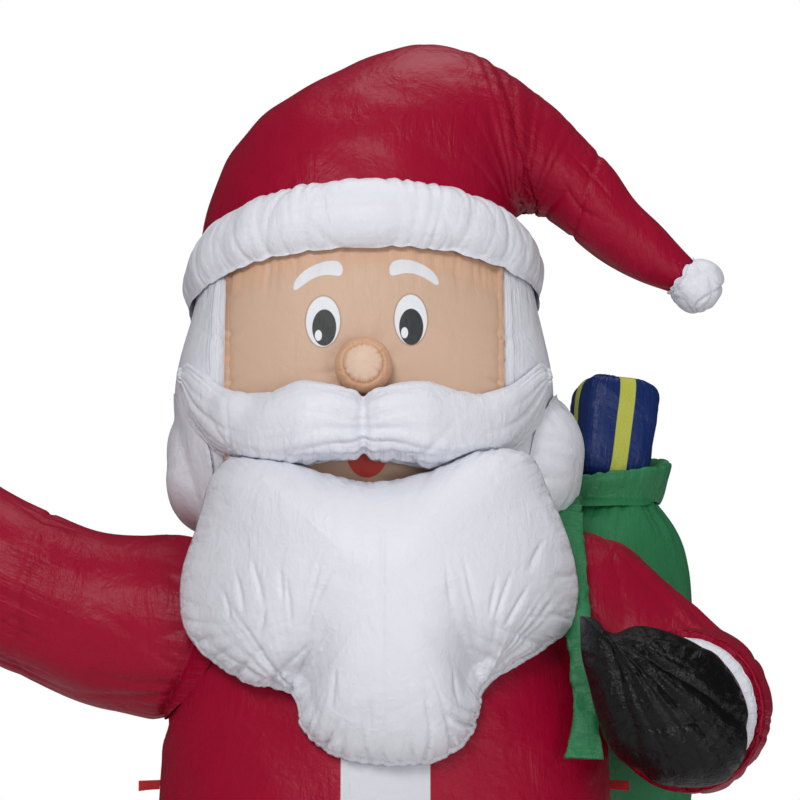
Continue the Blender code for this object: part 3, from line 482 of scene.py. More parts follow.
def crease(flat, mark, width, depth):
    """Depth of one crease between two points of a plane, with t the share of its way and x the distance
    across it: depth·exp(-(x / width)^1.3)·sin(pi·t). Its width at the start is a third of the last."""
    start, end = np.array(mark[:2]), np.array(mark[2:])
    way = end - start
    t = np.clip(((flat - start) @ way) / (way @ way), 0, 1)
    x = np.linalg.norm(flat - start - t[..., None] * way, axis=-1)
    wide = width * (0.35 + 0.65 * t)
    return settings().fold_depth * depth * bell(x, wide, 1.3) * np.sin(np.pi * t)


def waves(points, seed, size, count=9):
    """Soft unevenness from -1 to 1: the mean of sine waves with random directions and lengths near size."""
    source = np.random.default_rng(seed)
    made = np.zeros(points.shape[:-1])
    for _ in range(count):
        way = source.normal(size=3)
        way *= 2 * np.pi / (np.linalg.norm(way) * size * source.uniform(0.6, 1.6))
        made += np.sin(points @ way + source.uniform(0, 2 * np.pi))
    return made * 2 / count


def crumple(points, seed, size, count=7):
    """Sharp creases between soft facets, from 0 in a crease to 1: the smallest |sin(q)| of a few bent
    plane waves, each raised to 0.6."""
    source = np.random.default_rng(seed)
    bend = waves(points, seed + 50, size * 1.6)
    made = np.ones(points.shape[:-1])
    for _ in range(count):
        way = source.normal(size=3)
        way *= np.pi / (np.linalg.norm(way) * size * source.uniform(0.8, 2.2))
        wave = np.abs(np.sin(points @ way + 1.1 * bend + source.uniform(0, 2 * np.pi)))
        made = np.minimum(made, wave ** 0.6 * source.uniform(0.9, 1.6))
    return made


def cloth(name, grid, place, away, length, material, ring=False):
    """The closed mesh over a grid. Its UV map holds metres along the seam and metres away from it."""
    rows, around = grid.shape[:2]
    points = grid.reshape(-1, 3)
    i = np.arange(rows if ring else rows - 1)[:, None]
    j = np.arange(around)[None]
    low, high = i * around, (i + 1) % rows * around
    right = (j + 1) % around
    quads = np.stack([low + j, low + right, high + right, high + j], axis=-1).reshape(-1, 4)
    place = np.broadcast_to(place, (rows, around))
    away = np.broadcast_to(away, (rows, around))
    seam = np.stack([place * length, away], axis=-1)
    seam = np.concatenate([seam, seam[:, :1] + [[[length, 0]]]], axis=1)
    above = (i + 1) % rows
    corner_uv = np.stack(np.broadcast_arrays(
        seam[i, j], seam[i, j + 1], seam[above, j + 1], seam[above, j]
    ), axis=2).reshape(-1, 2)
    fans = np.zeros((0, 3), int)
    if not ring:
        poles = [grid[0].mean(axis=0), grid[-1].mean(axis=0)]
        points = np.vstack([points, poles])
        first, last = rows * around, rows * around + 1
        k = np.arange(around)
        near = np.stack([np.full(around, first), (k + 1) % around, k], axis=1)
        end = (rows - 1) * around
        far = np.stack([np.full(around, last), end + k, end + (k + 1) % around], axis=1)
        fans = np.vstack([near, far])
        near_uv = np.stack([seam[0, :-1], seam[0, 1:], seam[0, :-1]], axis=1)
        far_uv = np.stack([seam[-1, :-1], seam[-1, :-1], seam[-1, 1:]], axis=1)
        corner_uv = np.vstack([corner_uv, near_uv.reshape(-1, 2), far_uv.reshape(-1, 2)])
    a, b, c, d = (points[quads[:, n]] for n in range(4))
    volume = np.sum(a * np.cross(b, c)) + np.sum(a * np.cross(c, d))
    e, f, g = (points[fans[:, n]] for n in range(3))
    volume += np.sum(e * np.cross(f, g))
    corners = np.concatenate([quads.ravel(), fans.ravel()])
    starts = np.concatenate([np.arange(len(quads)) * 4, len(quads) * 4 + np.arange(len(fans)) * 3])
    mesh = bpy.data.meshes.new(name)
    mesh.vertices.add(len(points))
    mesh.vertices.foreach_set("co", points.ravel())
    mesh.loops.add(len(corners))
    mesh.loops.foreach_set("vertex_index", corners)
    mesh.polygons.add(len(starts))
    mesh.polygons.foreach_set("loop_start", starts)
    mesh.update(calc_edges=True)
    mesh.uv_layers.new(name="Seam").uv.foreach_set("vector", corner_uv.ravel())
    if volume < 0:
        mesh.flip_normals()
    mesh.shade_smooth()
    mesh.materials.append(material)
    return add_object(name, mesh)


def add_object(name, data):
    made = bpy.data.objects.new(name, data)
    bpy.context.scene.collection.objects.link(made)
    return made


def bake(piece):
    """Puts the shape that the modifiers leave into a plain mesh."""
    graph = bpy.context.evaluated_depsgraph_get()
    mesh = bpy.data.meshes.new_from_object(piece.evaluated_get(graph))
    piece.modifiers.clear()
    piece.data = mesh


def points_of(mesh):
    made = np.zeros(len(mesh.vertices) * 3)
    mesh.vertices.foreach_get("co", made)
    return made.reshape(-1, 3)


def press(piece, names, gap):
    """Moves each point that lies inside a neighbour out to the neighbour's surface and a gap beyond it. Only
    the points in the neighbour's box are looked at."""
    points = points_of(piece.data)
    for name in names:
        form = bpy.data.objects[name]
        corners = points_of(form.data)
        near = np.all((points > corners.min(0) - gap) & (points < corners.max(0) + gap), axis=1)
        if not near.any():
            continue
        piece.vertex_groups.clear()
        piece.vertex_groups.new(name="near").add(np.flatnonzero(near).tolist(), 1.0, "REPLACE")
        change = piece.modifiers.new("Press", "SHRINKWRAP")
        change.wrap_method = "NEAREST_SURFACEPOINT"
        change.wrap_mode = "OUTSIDE"
        change.offset = gap
        change.vertex_group = "near"
        change.target = form
        bake(piece)
        moved = np.linalg.norm(points_of(piece.data) - points, axis=1) > 0.0005
        if moved.any():
            piece.vertex_groups.new(name="moved").add(np.flatnonzero(moved).tolist(), 1.0, "REPLACE")
            ease = piece.modifiers.new("Ease", "SMOOTH")
            ease.factor = 0.5
            ease.iterations = 8
            ease.vertex_group = "moved"
            bake(piece)
        points = points_of(piece.data)
    piece.vertex_groups.clear()


def sew(node, grid, push, material, place, away, length, against=(), ring=False, gap=0.003):
    """The finished piece that stands for a node of the frame: grid - push along its normals, clear of the
    pieces it was sewn against. The smooth grid is kept as a form for its own neighbours to rest on."""
    form = cloth(node + "_form", grid[::2, ::2], 0.0, 0.0, 1.0, material, ring)
    form.hide_render = True
    if np.ndim(push):
        grid = grid - normals_of(grid, ring) * push[..., None]
    piece = cloth(node + "_cloth", grid, place, away, length, material, ring)
    press(piece, against, gap)
    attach(piece, "root")
    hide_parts(node)
    return piece


def level_rows(sections, count, size, centre):
    """Rows for level sections that are given as shares of height, half width and half depth."""
    dense = smooth_rows(sections, count)
    width, depth, height = size
    flat = np.zeros(count)
    return np.column_stack([
        flat + centre[0], flat + centre[1], centre[2] + dense[:, 0] * height, flat, flat,
        dense[:, 1] * width / 2, dense[:, 2] * depth / 2,
    ])


def coat_half(z):
    """Half width and half depth of the coat at a height."""
    dense = smooth_rows(COAT_SECTIONS, 300)
    share = (z - COAT_BOTTOM) / COAT_HEIGHT
    wide = np.interp(share, dense[:, 0], dense[:, 1]) * COAT_WIDTH / 2
    deep = np.interp(share, dense[:, 0], dense[:, 2]) * COAT_DEPTH / 2
    return wide, deep


def out_of_coat(points):
    """How far points lie out of the coat's side: |x| - width·(1 - |y / depth|^q)^(1 / q) at their height."""
    wide, deep = coat_half(points[..., 2])
    inside = np.maximum(1 - np.abs(points[..., 1] / deep) ** COAT_SQUARENESS, 0)
    return np.abs(points[..., 0]) - wide * inside ** (1 / COAT_SQUARENESS)


def ring_tube(centre, half_width, half_depth, across, high, tilt, shape=(400, 48), squareness=2.0):
    """A tube bent into a flattened ring: point = centre + (half size + across·cos v)·(cos u, sin u) +
    high·sin v·Z, with u round the ring and v round the tube, tilted about X."""
    u = turns(shape[0])[:, None]
    v = turns(shape[1])[None]
    c, s = rounded(u, squareness)
    out = across * np.cos(v)
    x = (half_width + out) * c
    y = (half_depth + out) * s
    z = high * np.sin(v) + 0 * u
    lean = math.radians(tilt)
    made = np.stack([x, y * math.cos(lean) - z * math.sin(lean), y * math.sin(lean) + z * math.cos(lean)], -1)
    return made + np.array(centre), u / (2 * np.pi) + 0 * v, v + 0 * u


def outline_grid(outline, centre, rows, around, back_rows=18):
    """Flat grid between an outline and its middle, from the middle of the back over the outline to the
    middle of the front: flat = outline + (centre - outline)·inward. Also gives inward and the side."""
    dense = smooth_rows([*outline, outline[0]], around + 1)[:-1]
    front = np.linspace(0, 1, rows) ** 1.25 * 0.985
    back = (np.linspace(0, 1, back_rows + 1)[1:] ** 1.1 * 0.97)[::-1]
    inward = np.concatenate([back, front])
    side = np.concatenate([-np.ones(back_rows), np.ones(rows)])
    flat = dense[None] + (np.array(centre) - dense)[None] * inward[:, None, None]
    return flat, inward[:, None], side[:, None]


def swell_of(inward):
    """Rise of a padded front: (1 - (1 - inward)^2.4)^0.55."""
    return (1 - (1 - np.clip(inward, 0, 1)) ** 2.4) ** 0.55


class Wiring:
    """Short calls that wire a material's nodes. An input is a number, a tuple or another node's output."""

    def __init__(self, name):
        self.material = bpy.data.materials.new(name)
        self.material.use_nodes = True
        self.tree = self.material.node_tree
        self.shader = self.tree.nodes["Principled BSDF"]

    def node(self, kind, inputs=None, **settings):
        made = self.tree.nodes.new(kind)
        for key, value in settings.items():
            setattr(made, key, value)
        for key, value in (inputs or {}).items():
            self.feed(made.inputs[key], value)
        return made

    def feed(self, socket, value):
        if isinstance(value, bpy.types.NodeSocket):
            self.tree.links.new(value, socket)
        else:
            socket.default_value = value

    def math(self, operation, a, b=0.0):
        return self.node("ShaderNodeMath", {0: a, 1: b}, operation=operation).outputs[0]

    def add(self, a, b):
        return self.math("ADD", a, b)

    def sub(self, a, b):
        return self.math("SUBTRACT", a, b)

    def mul(self, a, b):
        return self.math("MULTIPLY", a, b)

    def size(self, a):
        return self.math("ABSOLUTE", a)

    def scaled(self, vector, scale):
        turned = self.node("ShaderNodeMapping", {"Vector": vector, "Scale": scale})
        return turned.outputs["Vector"]

    def noise(self, vector, scale, detail=3.0, roughness=0.5, distortion=0.0):
        return self.node("ShaderNodeTexNoise", {
            "Vector": vector, "Scale": scale, "Detail": detail, "Roughness": roughness,
            "Distortion": distortion,
        }).outputs["Fac"]

    def bands(self, vector, scale, distortion, way):
        """Even bands across X or Z, as a wave texture."""
        return self.node("ShaderNodeTexWave", {"Vector": vector, "Scale": scale, "Distortion": distortion},
                         bands_direction=way).outputs["Fac"]

    def mix(self, share, first, second):
        """The first colour at share 0 and the second at share 1."""
        return self.node("ShaderNodeMix", {0: share, 6: first, 7: second}, data_type="RGBA").outputs[2]

    def paint(self, colour):
        self.feed(self.shader.inputs["Base Color"], colour)

    def relief(self, height, strength):
        """Bumps the surface by a height in metres."""
        bump = self.node("ShaderNodeBump", {"Height": height, "Strength": strength, "Distance": 1.0})
        self.feed(self.shader.inputs["Normal"], bump.outputs["Normal"])

    def place(self):
        return self.node("ShaderNodeTexCoord").outputs["Object"]

    def seam(self):
        return self.node("ShaderNodeUVMap", uv_map="Seam").outputs["UV"]

    def parts(self, vector):
        split = self.node("ShaderNodeSeparateXYZ", {0: vector})
        return split.outputs[0], split.outputs[1], split.outputs[2]

    def oval(self, x, z, mark, soft=0.03):
        """1 inside an oval of centre and half sizes, and 0 outside it."""
        across = self.math("DIVIDE", self.sub(x, mark[0]), mark[2])
        up = self.math("DIVIDE", self.sub(z, mark[1]), mark[3])
        r = self.math("SQRT", self.add(self.mul(across, across), self.mul(up, up)))
        return self.step(r, 1.0, soft)

    def step(self, value, edge, soft):
        """1 below the edge and 0 above it, with a soft change between them."""
        return self.node("ShaderNodeMapRange", {
            "Value": value, "From Min": edge - soft, "From Max": edge + soft, "To Min": 1.0, "To Max": 0.0,
        }, interpolation_type="SMOOTHSTEP").outputs[0]


def nylon(name, colour, roughness=0.42, crinkle=1.0, streaks=1.0, tint=0.10, upright=0.6, shine=0.35):
    """Thin woven nylon. Its height is streaks(u, v)·exp(-(v / 0.085)²) beside the seams, a low crinkle,
    patches of upright wrinkles and a fine weave of threads, all in metres. Its colour is a little uneven.
    Gives the wiring and the colour."""
    wiring = Wiring(name)
    place = wiring.place()
    seam = wiring.seam()
    _, v, _ = wiring.parts(seam)
    fine = wiring.noise(wiring.scaled(seam, (38.0, 4.5, 1.0)), 1.0, 4.0, 0.6)
    fade = wiring.math("EXPONENT", wiring.mul(wiring.mul(v, v), -1 / 0.085**2))
    streak = wiring.mul(wiring.mul(fine, fade), 0.012 * streaks)
    broad = wiring.noise(place, 9.0, 5.0, 0.6, 0.6)
    soft = wiring.noise(place, 26.0, 5.0, 0.6, 0.5)
    low = wiring.add(wiring.mul(broad, 0.0060 * crinkle), wiring.mul(soft, 0.0032 * crinkle))
    threads = wiring.bands(place, 120.0, 1.0, "X")
    picks = wiring.bands(place, 120.0, 1.0, "Z")
    weave = wiring.mul(wiring.add(threads, picks), 0.00006)
    drawn = wiring.noise(wiring.scaled(place, (30.0, 16.0, 7.0)), 1.0, 4.0, 0.6, 0.8)
    where = wiring.step(wiring.noise(place, 4.0, 2.0), 0.47, 0.12)
    pulled = wiring.mul(wiring.mul(drawn, where), 0.010 * upright)
    low = wiring.add(low, pulled)
    height = wiring.add(wiring.add(streak, low), weave)
    wiring.relief(height, 0.8)
    patch = wiring.noise(place, 3.2, 3.0, 0.5)
    dark = tuple(c * (1 - tint) for c in colour) + (1.0,)
    light = tuple(min(1.0, c * (1 + tint)) for c in colour) + (1.0,)
    base = wiring.mix(patch, dark, light)
    wiring.paint(base)
    uneven = wiring.add(wiring.mul(patch, 0.12), roughness - 0.06)
    wiring.feed(wiring.shader.inputs["Roughness"], uneven)
    wiring.shader.inputs["Specular IOR Level"].default_value = shine
    return wiring, base


def colours():
    return bpy.context.scene.santa_colours


def settings():
    return bpy.context.scene.santa_settings


def kept(name):
    return bpy.data.materials.get(name)


# Plain cloths: the colour's name in the panel, the roughness, and what differs from the usual nylon.
CLOTHS = {
    "red": ("suit", 0.38, {"upright": 1.0, "shine": 0.22}),
    "white": ("fur", 0.42, {"crinkle": 1.2, "streaks": 1.3, "tint": 0.02}),
    "black": ("leather", 0.33, {"crinkle": 2.8, "streaks": 0.4, "shine": 0.27}),
    "green": ("sack", 0.42, {"crinkle": 1.3}),
    "gold": ("buckle", 0.34, {}),
    "base": ("fur", 0.55, {}),
}


def plain_cloth(kind):
    """Nylon of one colour, made once."""
    name = kind + "_nylon_cloth"
    colour, roughness, traits = CLOTHS[kind]
    return kept(name) or nylon(name, getattr(colours(), colour), roughness, **traits)[0].material


def coat_nylon():
    """Red nylon with the white strip of the coat's front between two seams."""
    if kept("coat_nylon"):
        return kept("coat_nylon")
    wiring, base = nylon("coat_nylon", colours().suit, 0.40, upright=0.8, shine=0.20)
    x, y, _ = wiring.parts(wiring.place())
    off = wiring.size(wiring.sub(x, PLACKET[0]))
    strip = wiring.mul(wiring.step(off, PLACKET[1], 0.0015), wiring.step(y, 0.0, 0.001))
    pale = [0.86 * part for part in colours().fur]
    wiring.paint(wiring.mix(strip, base, (*pale, 1.0)))
    return wiring.material


def face_nylon():
    """Skin-coloured nylon, warmer along its seams, with printed eyes, brows and mouth."""
    if kept("face_nylon"):
        return kept("face_nylon")
    wiring, base = nylon("face_nylon", colours().skin, 0.45, crinkle=0.6, streaks=0.35, tint=0.04,
                         upright=0.3)
    x, _, z = wiring.parts(wiring.place())
    _, v, _ = wiring.parts(wiring.seam())
    fray = wiring.noise(wiring.scaled(wiring.place(), (6.0, 1.0, 60.0)), 1.0, 4.0)
    side = wiring.size(wiring.sub(x, HEAD_OFFSET))
    edge = wiring.sub(wiring.sub(FACE_WIDTH / 2, side), wiring.mul(fray, 0.030))
    sides = wiring.mul(wiring.step(edge, -0.008, 0.009), 0.6)
    tufts = wiring.noise(wiring.scaled(wiring.place(), (60.0, 1.0, 5.0)), 1.0, 4.0)
    below = wiring.sub(v, wiring.mul(tufts, 0.09))
    tops = wiring.mul(wiring.step(below, -0.02, 0.03), 0.22)
    warm = wiring.math("MAXIMUM", sides, tops)
    now = wiring.mix(warm, base, (0.86, 0.42, 0.22, 1.0))
    grain = wiring.noise(wiring.place(), 260.0, 3.0, 0.7)
    for mark in EYES:
        ring = (mark[0], mark[1], mark[2] + 0.0035, mark[3] + 0.0035)
        now = wiring.mix(wiring.mul(wiring.oval(x, z, ring), 0.55), now, (0.30, 0.19, 0.13, 1.0))
        now = wiring.mix(wiring.oval(x, z, mark), now, (0.80, 0.82, 0.86, 1.0))
    slate = wiring.mix(grain, (0.018, 0.019, 0.020, 1.0), (0.062, 0.064, 0.066, 1.0))
    for mark in PUPILS:
        now = wiring.mix(wiring.oval(x, z, mark), now, slate)
    for mark in GLINTS:
        now = wiring.mix(wiring.oval(x, z, mark, 0.08), now, (0.82, 0.84, 0.88, 1.0))
    for middle, top, way, slope, bend in BROWS:
        across = wiring.mul(wiring.sub(x, middle), way)
        curve = wiring.add(wiring.mul(across, slope), wiring.mul(wiring.mul(across, across), bend))
        lean = wiring.add(wiring.mul(across, 2 * bend), slope)
        long = wiring.math("SQRT", wiring.add(wiring.mul(lean, lean), 1.0))
        high = wiring.size(wiring.sub(z, wiring.add(curve, top)))
        off = wiring.math("DIVIDE", high, long)
        end = wiring.math("DIVIDE", wiring.size(across), 0.0600)
        full = wiring.sub(1.0, wiring.math("POWER", end, 8.0))
        round_ends = wiring.math("SQRT", wiring.math("MAXIMUM", full, 0.0))
        thick = wiring.mul(wiring.add(wiring.mul(across, 0.075), 0.0180), round_ends)
        brow = wiring.step(wiring.sub(off, thick), -0.0020, 0.0012)
        now = wiring.mix(brow, now, (0.78, 0.78, 0.82, 1.0))
    below = wiring.step(z, MOUTH[1], 0.001)
    lips = wiring.mul(wiring.oval(x, z, MOUTH, 0.02), below)
    now = wiring.mix(lips, now, (0.66, 0.060, 0.045, 1.0))
    wiring.paint(now)
    return wiring.material


def nose_nylon():
    """Peach nylon whose gathered rim and turned sides are painted darker than its front panel: painted shade
    of the gathers and of the ball turning away from the light.
    """
    if kept("nose_nylon_cloth"):
        return kept("nose_nylon_cloth")
    wiring, base = nylon("nose_nylon_cloth", colours().nose, 0.42, crinkle=0.9, streaks=0.25, tint=0.05,
                         upright=0.0)
    _, v, _ = wiring.parts(wiring.seam())
    fray = wiring.noise(wiring.scaled(wiring.seam(), (42.0, 10.0, 1.0)), 1.0, 4.0, 0.6)
    edge = wiring.add(v, wiring.mul(fray, -0.026))
    # rim carries painted shade: all of the ball off its front panel, the gathered rim with it, is painted a
    # darker peach.
    rim = wiring.mul(wiring.step(edge, 0.0, 0.006), 0.85)
    wiring.paint(wiring.mix(rim, base, (0.70, 0.39, 0.23, 1.0)))
    return wiring.material


def present_nylon(centre, turn):
    """Blue nylon with yellow ribbons, found in the present's own unturned place."""
    if kept("present_nylon"):
        return kept("present_nylon")
    wiring, base = nylon("present_nylon", colours().present, 0.36, crinkle=1.3, shine=0.28)
    own = wiring.node("ShaderNodeMapping", {"Vector": wiring.place(), "Location": centre, "Rotation": turn},
                      vector_type="TEXTURE").outputs["Vector"]
    x, y, _ = wiring.parts(own)
    near = wiring.math("MINIMUM", wiring.size(x), wiring.size(y))
    ribbon = wiring.step(near, 0.021, 0.0012)
    wiring.paint(wiring.mix(ribbon, base, (*colours().ribbon, 1.0)))
    return wiring.material


def make_head_form():
    """The head's plain form, which the pieces round it are kept out of. It is taken away at the end."""
    rows = level_rows(HEAD_SECTIONS, 60, (HEAD_WIDTH, HEAD_DEPTH, HEAD_HEIGHT), (HEAD_OFFSET, 0, HEAD_BOTTOM))
    grid = section_grid(close_ends(rows), 120, HEAD_SQUARENESS)
    form = cloth("head_form", grid, 0.0, 0.0, 1.0, plain_cloth("white"))
    form.hide_render = True


def below_brim(x, z):
    """Distance below the edge of the hat's band, which drops to the sides: edge - drop·x² - z."""
    return BAND_EDGE - BAND_EDGE_DROP * (x - HEAD_OFFSET) ** 2 - z


def brim_sag(x):
    """How far the hat's band hangs lower than a level ring: 0.009 + 0.20·x² - 0.030·x."""
    side = x - HEAD_OFFSET
    return 0.009 + 0.20 * side**2 - 0.030 * side


def head_halves(count):
    """Heights, half widths, half depths and half widths of the face panel from neck to crown."""
    rows = level_rows(HEAD_SECTIONS, count, (HEAD_WIDTH, HEAD_DEPTH, HEAD_HEIGHT), (0, 0, HEAD_BOTTOM))
    z, wide, deep = rows[:, 2, None], rows[:, 5, None], rows[:, 6, None]
    return z, wide, deep, np.minimum(FACE_WIDTH / 2, 0.94 * wide)


def seam_line(wide, deep, panel):
    """Depth at the face panel's edge: -deep·(1 - (panel / wide)^q)^(1 / q)."""
    return -deep * (1 - (panel / wide) ** HEAD_SQUARENESS) ** (1 / HEAD_SQUARENESS)


def make_face():
    """Front panel: x = q·panel, y = -deep·(1 - |x / wide|^q)^(1 / q), closed by a shallow back."""
    z, wide, deep, panel = head_halves(150)
    q = np.sin(np.linspace(-1, 1, FACE_COLUMNS) * np.pi / 2 * 0.98)[None] / math.sin(np.pi / 2 * 0.98)
    x = panel * q
    front = -deep * (1 - np.abs(x / wide) ** HEAD_SQUARENESS) ** (1 / HEAD_SQUARENESS)
    w = np.linspace(0, 1, 26)[None, 1:-1]
    back_x = panel * (1 - 2 * w)
    back = seam_line(wide, deep, panel) + 0.03 * np.sin(np.pi * w)
    x = np.concatenate([x, back_x], axis=1)
    y = np.concatenate([front, back], axis=1)
    grid = np.stack([x + HEAD_OFFSET, y, z + 0 * x], axis=-1)
    side = np.maximum(panel - np.abs(x), 0)
    top = below_brim(x + HEAD_OFFSET, z)
    fronts = np.arange(grid.shape[1])[None] < FACE_COLUMNS
    push = folds(z % 1.0, side, 1.0, 11, 30, 0.007, 0.035, 0.010, 0.5)
    push += folds(x + 0.5, np.maximum(top, 0), 1.0, 12, 56, 0.0055, 0.050, 0.0060, 0.35)
    bare = np.clip(top / 0.05, 0, 1)
    push += 0.010 * bare * bell(side, 0.013, 1.3)
    push += 0.006 * bell(np.maximum(top, 0), 0.03)
    around_nose = np.hypot(x, z - (HEAD_TOP - NOSE_DROP)) - NOSE_RADIUS
    turn = np.arctan2(z - (HEAD_TOP - NOSE_DROP), x) / (2 * np.pi) + 0.5
    push += folds(turn, np.maximum(around_nose, 0), 0.43, 13, 17, 0.006, 0.05, 0.005, 0.0)
    push += 0.004 * waves(grid, 14, 0.45)
    push = push * fronts
    sew("face", grid, push, face_nylon(), x + 1.0, np.maximum(top, 0), 1.0,
        against=("coat_form",))


def make_hair():
    """The rest of the head: an arc of each section from one edge of the face round the back to the other."""
    z, wide, deep, panel = head_halves(130)
    power = 2 / HEAD_SQUARENESS
    start = np.arcsin(np.clip((panel / wide) ** (1 / power), 0, 1))
    t = start + (2 * np.pi - 2 * start) * np.linspace(0, 1, HAIR_COLUMNS)[None]
    s, c = np.sin(t), np.cos(t)
    x = wide * np.sign(s) * np.abs(s) ** power
    y = -deep * np.sign(c) * np.abs(c) ** power
    w = np.linspace(0, 1, 26)[None, 1:-1]
    x_back = panel * (2 * w - 1)
    y_back = seam_line(wide, deep, panel) + 0.05 * np.sin(np.pi * w) + 0.004
    arc = np.abs(2 * np.linspace(0, 1, HAIR_COLUMNS)[None] - 1)
    side = (1 - arc) * (wide + deep) * 0.9
    side = np.concatenate([side + 0 * z, 0 * x_back], axis=1)
    grid = np.stack([np.concatenate([x, x_back], 1) + HEAD_OFFSET, np.concatenate([y, y_back], 1),
                     z + 0 * side], axis=-1)
    outer = np.arange(grid.shape[1])[None] < HAIR_COLUMNS
    near = np.maximum(below_brim(np.clip(grid[..., 0], -0.38, 0.29), z) + 0.02, 0)
    push = folds(z % 1.0, side, 1.0, 21, 18, 0.009, 0.05, 0.009, 0.5)
    push += folds(columns(grid), near, 2.8, 22, 52, 0.010, 0.08, 0.007, 0.3)
    push += 0.010 * bell(side, 0.013, 1.3)
    push += 0.006 * waves(grid, 23, 0.35)
    push = push * outer
    away = 1.7 * np.minimum(side, near)
    sew("hair", grid, push, plain_cloth("white"), columns(grid), away, 2.8,
        against=("coat_form",))


def make_coat():
    """Level sections from hem to neck, gathered at the hem, at the belt and round both sleeves."""
    size = (COAT_WIDTH, COAT_DEPTH, COAT_HEIGHT)
    rows = close_ends(level_rows(COAT_SECTIONS, 140, size, (0, 0, COAT_BOTTOM)), 0.0, 0.0)
    grid = section_grid(rows, 230, COAT_SQUARENESS)
    x, y, z = grid[..., 0], grid[..., 1], grid[..., 2]
    hem = np.maximum(z - COAT_BOTTOM - HEM_PUFF, 0)
    belt = np.maximum(np.abs(z - BELT_Z) - BELT_HEIGHT / 2, 0)
    shoulder = np.hypot(y, z - SHOULDER_Z)
    round_it = np.arctan2(z - SHOULDER_Z, y) / (2 * np.pi) + 0.5
    armhole = np.abs(shoulder - ARMHOLE_RADIUS)
    at_side = np.abs(x) > 0.25
    push = folds(columns(grid), hem, 3.4, 31, 52, 0.016, 0.16, 0.014)
    push += folds(columns(grid), belt, 3.4, 32, 60, 0.014, 0.12, 0.014)
    push += folds(round_it, armhole, 1.5, 33, 26, 0.013, 0.13, 0.013) * at_side
    push += 0.010 * bell(armhole, 0.03) * at_side
    strip = np.abs(np.abs(x - PLACKET[0]) - PLACKET[1])
    push += 0.0022 * bell(strip, 0.005) * (y < 0)
    push += (0.009 * waves(grid, 34, 0.6) + 0.003 * waves(grid, 35, 0.2)) * np.minimum(hem / 0.1, 1)
    away = np.minimum(np.minimum(hem, belt), np.where(at_side, armhole, 9.0))
    sew("coat", grid, push, coat_nylon(), columns(grid), away, 3.4)


def make_hem():
    """A padded ring round the coat's foot: a tube bent along the coat's outline there."""
    half_width, half_depth = coat_half(COAT_BOTTOM)
    centre = (0, 0, COAT_BOTTOM + HEM_PUFF * 0.6)
    grid, place, v = ring_tube(centre, half_width, half_depth, HEM_PUFF, HEM_PUFF, 0, (280, 26))
    gathered_ring("coat_hem", grid, place, v, HEM_PUFF, 3.2, 41, ("coat_form",), 60)


def gathered_ring(node, grid, place, v, puff, length, seed, against, count, seams=(1.75, -1.83), deep=0.012,
                  gap=0.003):
    """A padded ring with folds gathered into an upper and a lower seam, given as angles round its tube."""
    upper = apart(v, seams[0]) * puff
    lower = apart(v, seams[1]) * puff
    push = folds(place, upper, length, seed, count, 0.007, puff * 1.25, deep, 0.3)
    push += folds(place, lower, length, seed + 1, count, 0.007, puff * 1.25, deep, 0.3)
    push += folds(place, upper, length, seed + 2, count // 2, 0.012, puff * 3.0, deep * 0.8, 0.25)
    push += 0.012 * bell(upper, 0.018) + 0.012 * bell(lower, 0.018)
    push += 0.004 * waves(grid, seed + 3, 0.16)
    return sew(node, grid, push, plain_cloth("white"), place, np.minimum(upper, lower), length,
               against=against, ring=True, gap=gap)


def make_belt():
    """A flat band round the coat: the coat's outline at each height, moved out by a rounded profile."""
    angle = turns(28)[None]
    u = turns(300)[:, None]
    c, s = rounded(u, COAT_SQUARENESS)
    pc, ps = rounded(angle, 5.0)
    z = BELT_Z + ps * BELT_HEIGHT / 2 + 0 * u
    wide, deep = coat_half(z)
    out = BELT_PROUD / 2 + pc * BELT_PROUD / 2
    wrinkle = 0.0025 * waves(np.stack([u * 0.6 + 0 * z, z * 3.0, 0 * z], -1), 51, 0.2) * (pc > 0)
    grid = np.stack([(wide + out + wrinkle) * c, (deep + out + wrinkle) * s, z], axis=-1)
    away = np.abs(np.abs(z - BELT_Z) - BELT_HEIGHT / 2)
    sew("belt", grid, 0.0, plain_cloth("black"), u / (2 * np.pi) + 0 * z, away, 3.3,
        against=("coat_form",), ring=True, gap=0.001)
    half = BUCKLE_SIZE / 2 - BUCKLE_BAR / 2
    depth = coat_half(BELT_Z)[1]
    u = turns(160)[:, None]
    v = turns(20)[None]
    c, s = rounded(u, 7.0)
    tube_c, tube_s = rounded(v, 2.6)
    out = half + BUCKLE_BAR / 2 * tube_c
    x, z = out * c, out * s
    y = -depth - BELT_PROUD - BUCKLE_THICKNESS * 0.15 - BUCKLE_THICKNESS / 2 * tube_s
    grid = np.stack([x, y + 0 * x, z + BELT_Z], axis=-1)
    inner = np.abs(tube_s * BUCKLE_THICKNESS / 2) + 0 * u
    push = folds(u / (2 * np.pi), inner, 0.85, 52, 30, 0.006, 0.012, 0.004)
    sew("buckle", grid, push, plain_cloth("gold"), u / (2 * np.pi) + 0 * v, inner, 0.85,
        against=("belt_form",), ring=True, gap=0.001)


def webbing():
    """Flat woven tape: ribs across it and fine threads along it."""
    if kept("red_webbing_tape"):
        return kept("red_webbing_tape")
    wiring = Wiring("red_webbing_tape")
    place = wiring.place()
    ribs = wiring.bands(place, 190.0, 0.4, "X")
    cords = wiring.bands(place, 150.0, 0.4, "Z")
    height = wiring.mul(wiring.mul(ribs, cords), 0.0006)
    wiring.relief(height, 1.0)
    red = colours().webbing
    dark, light = (red[0] * 0.8, red[1], red[2], 1.0), (red[0], red[1] * 1.5, red[2] * 1.5, 1.0)
    wiring.paint(wiring.mix(cords, dark, light))
    wiring.shader.inputs["Roughness"].default_value = 0.6
    return wiring.material


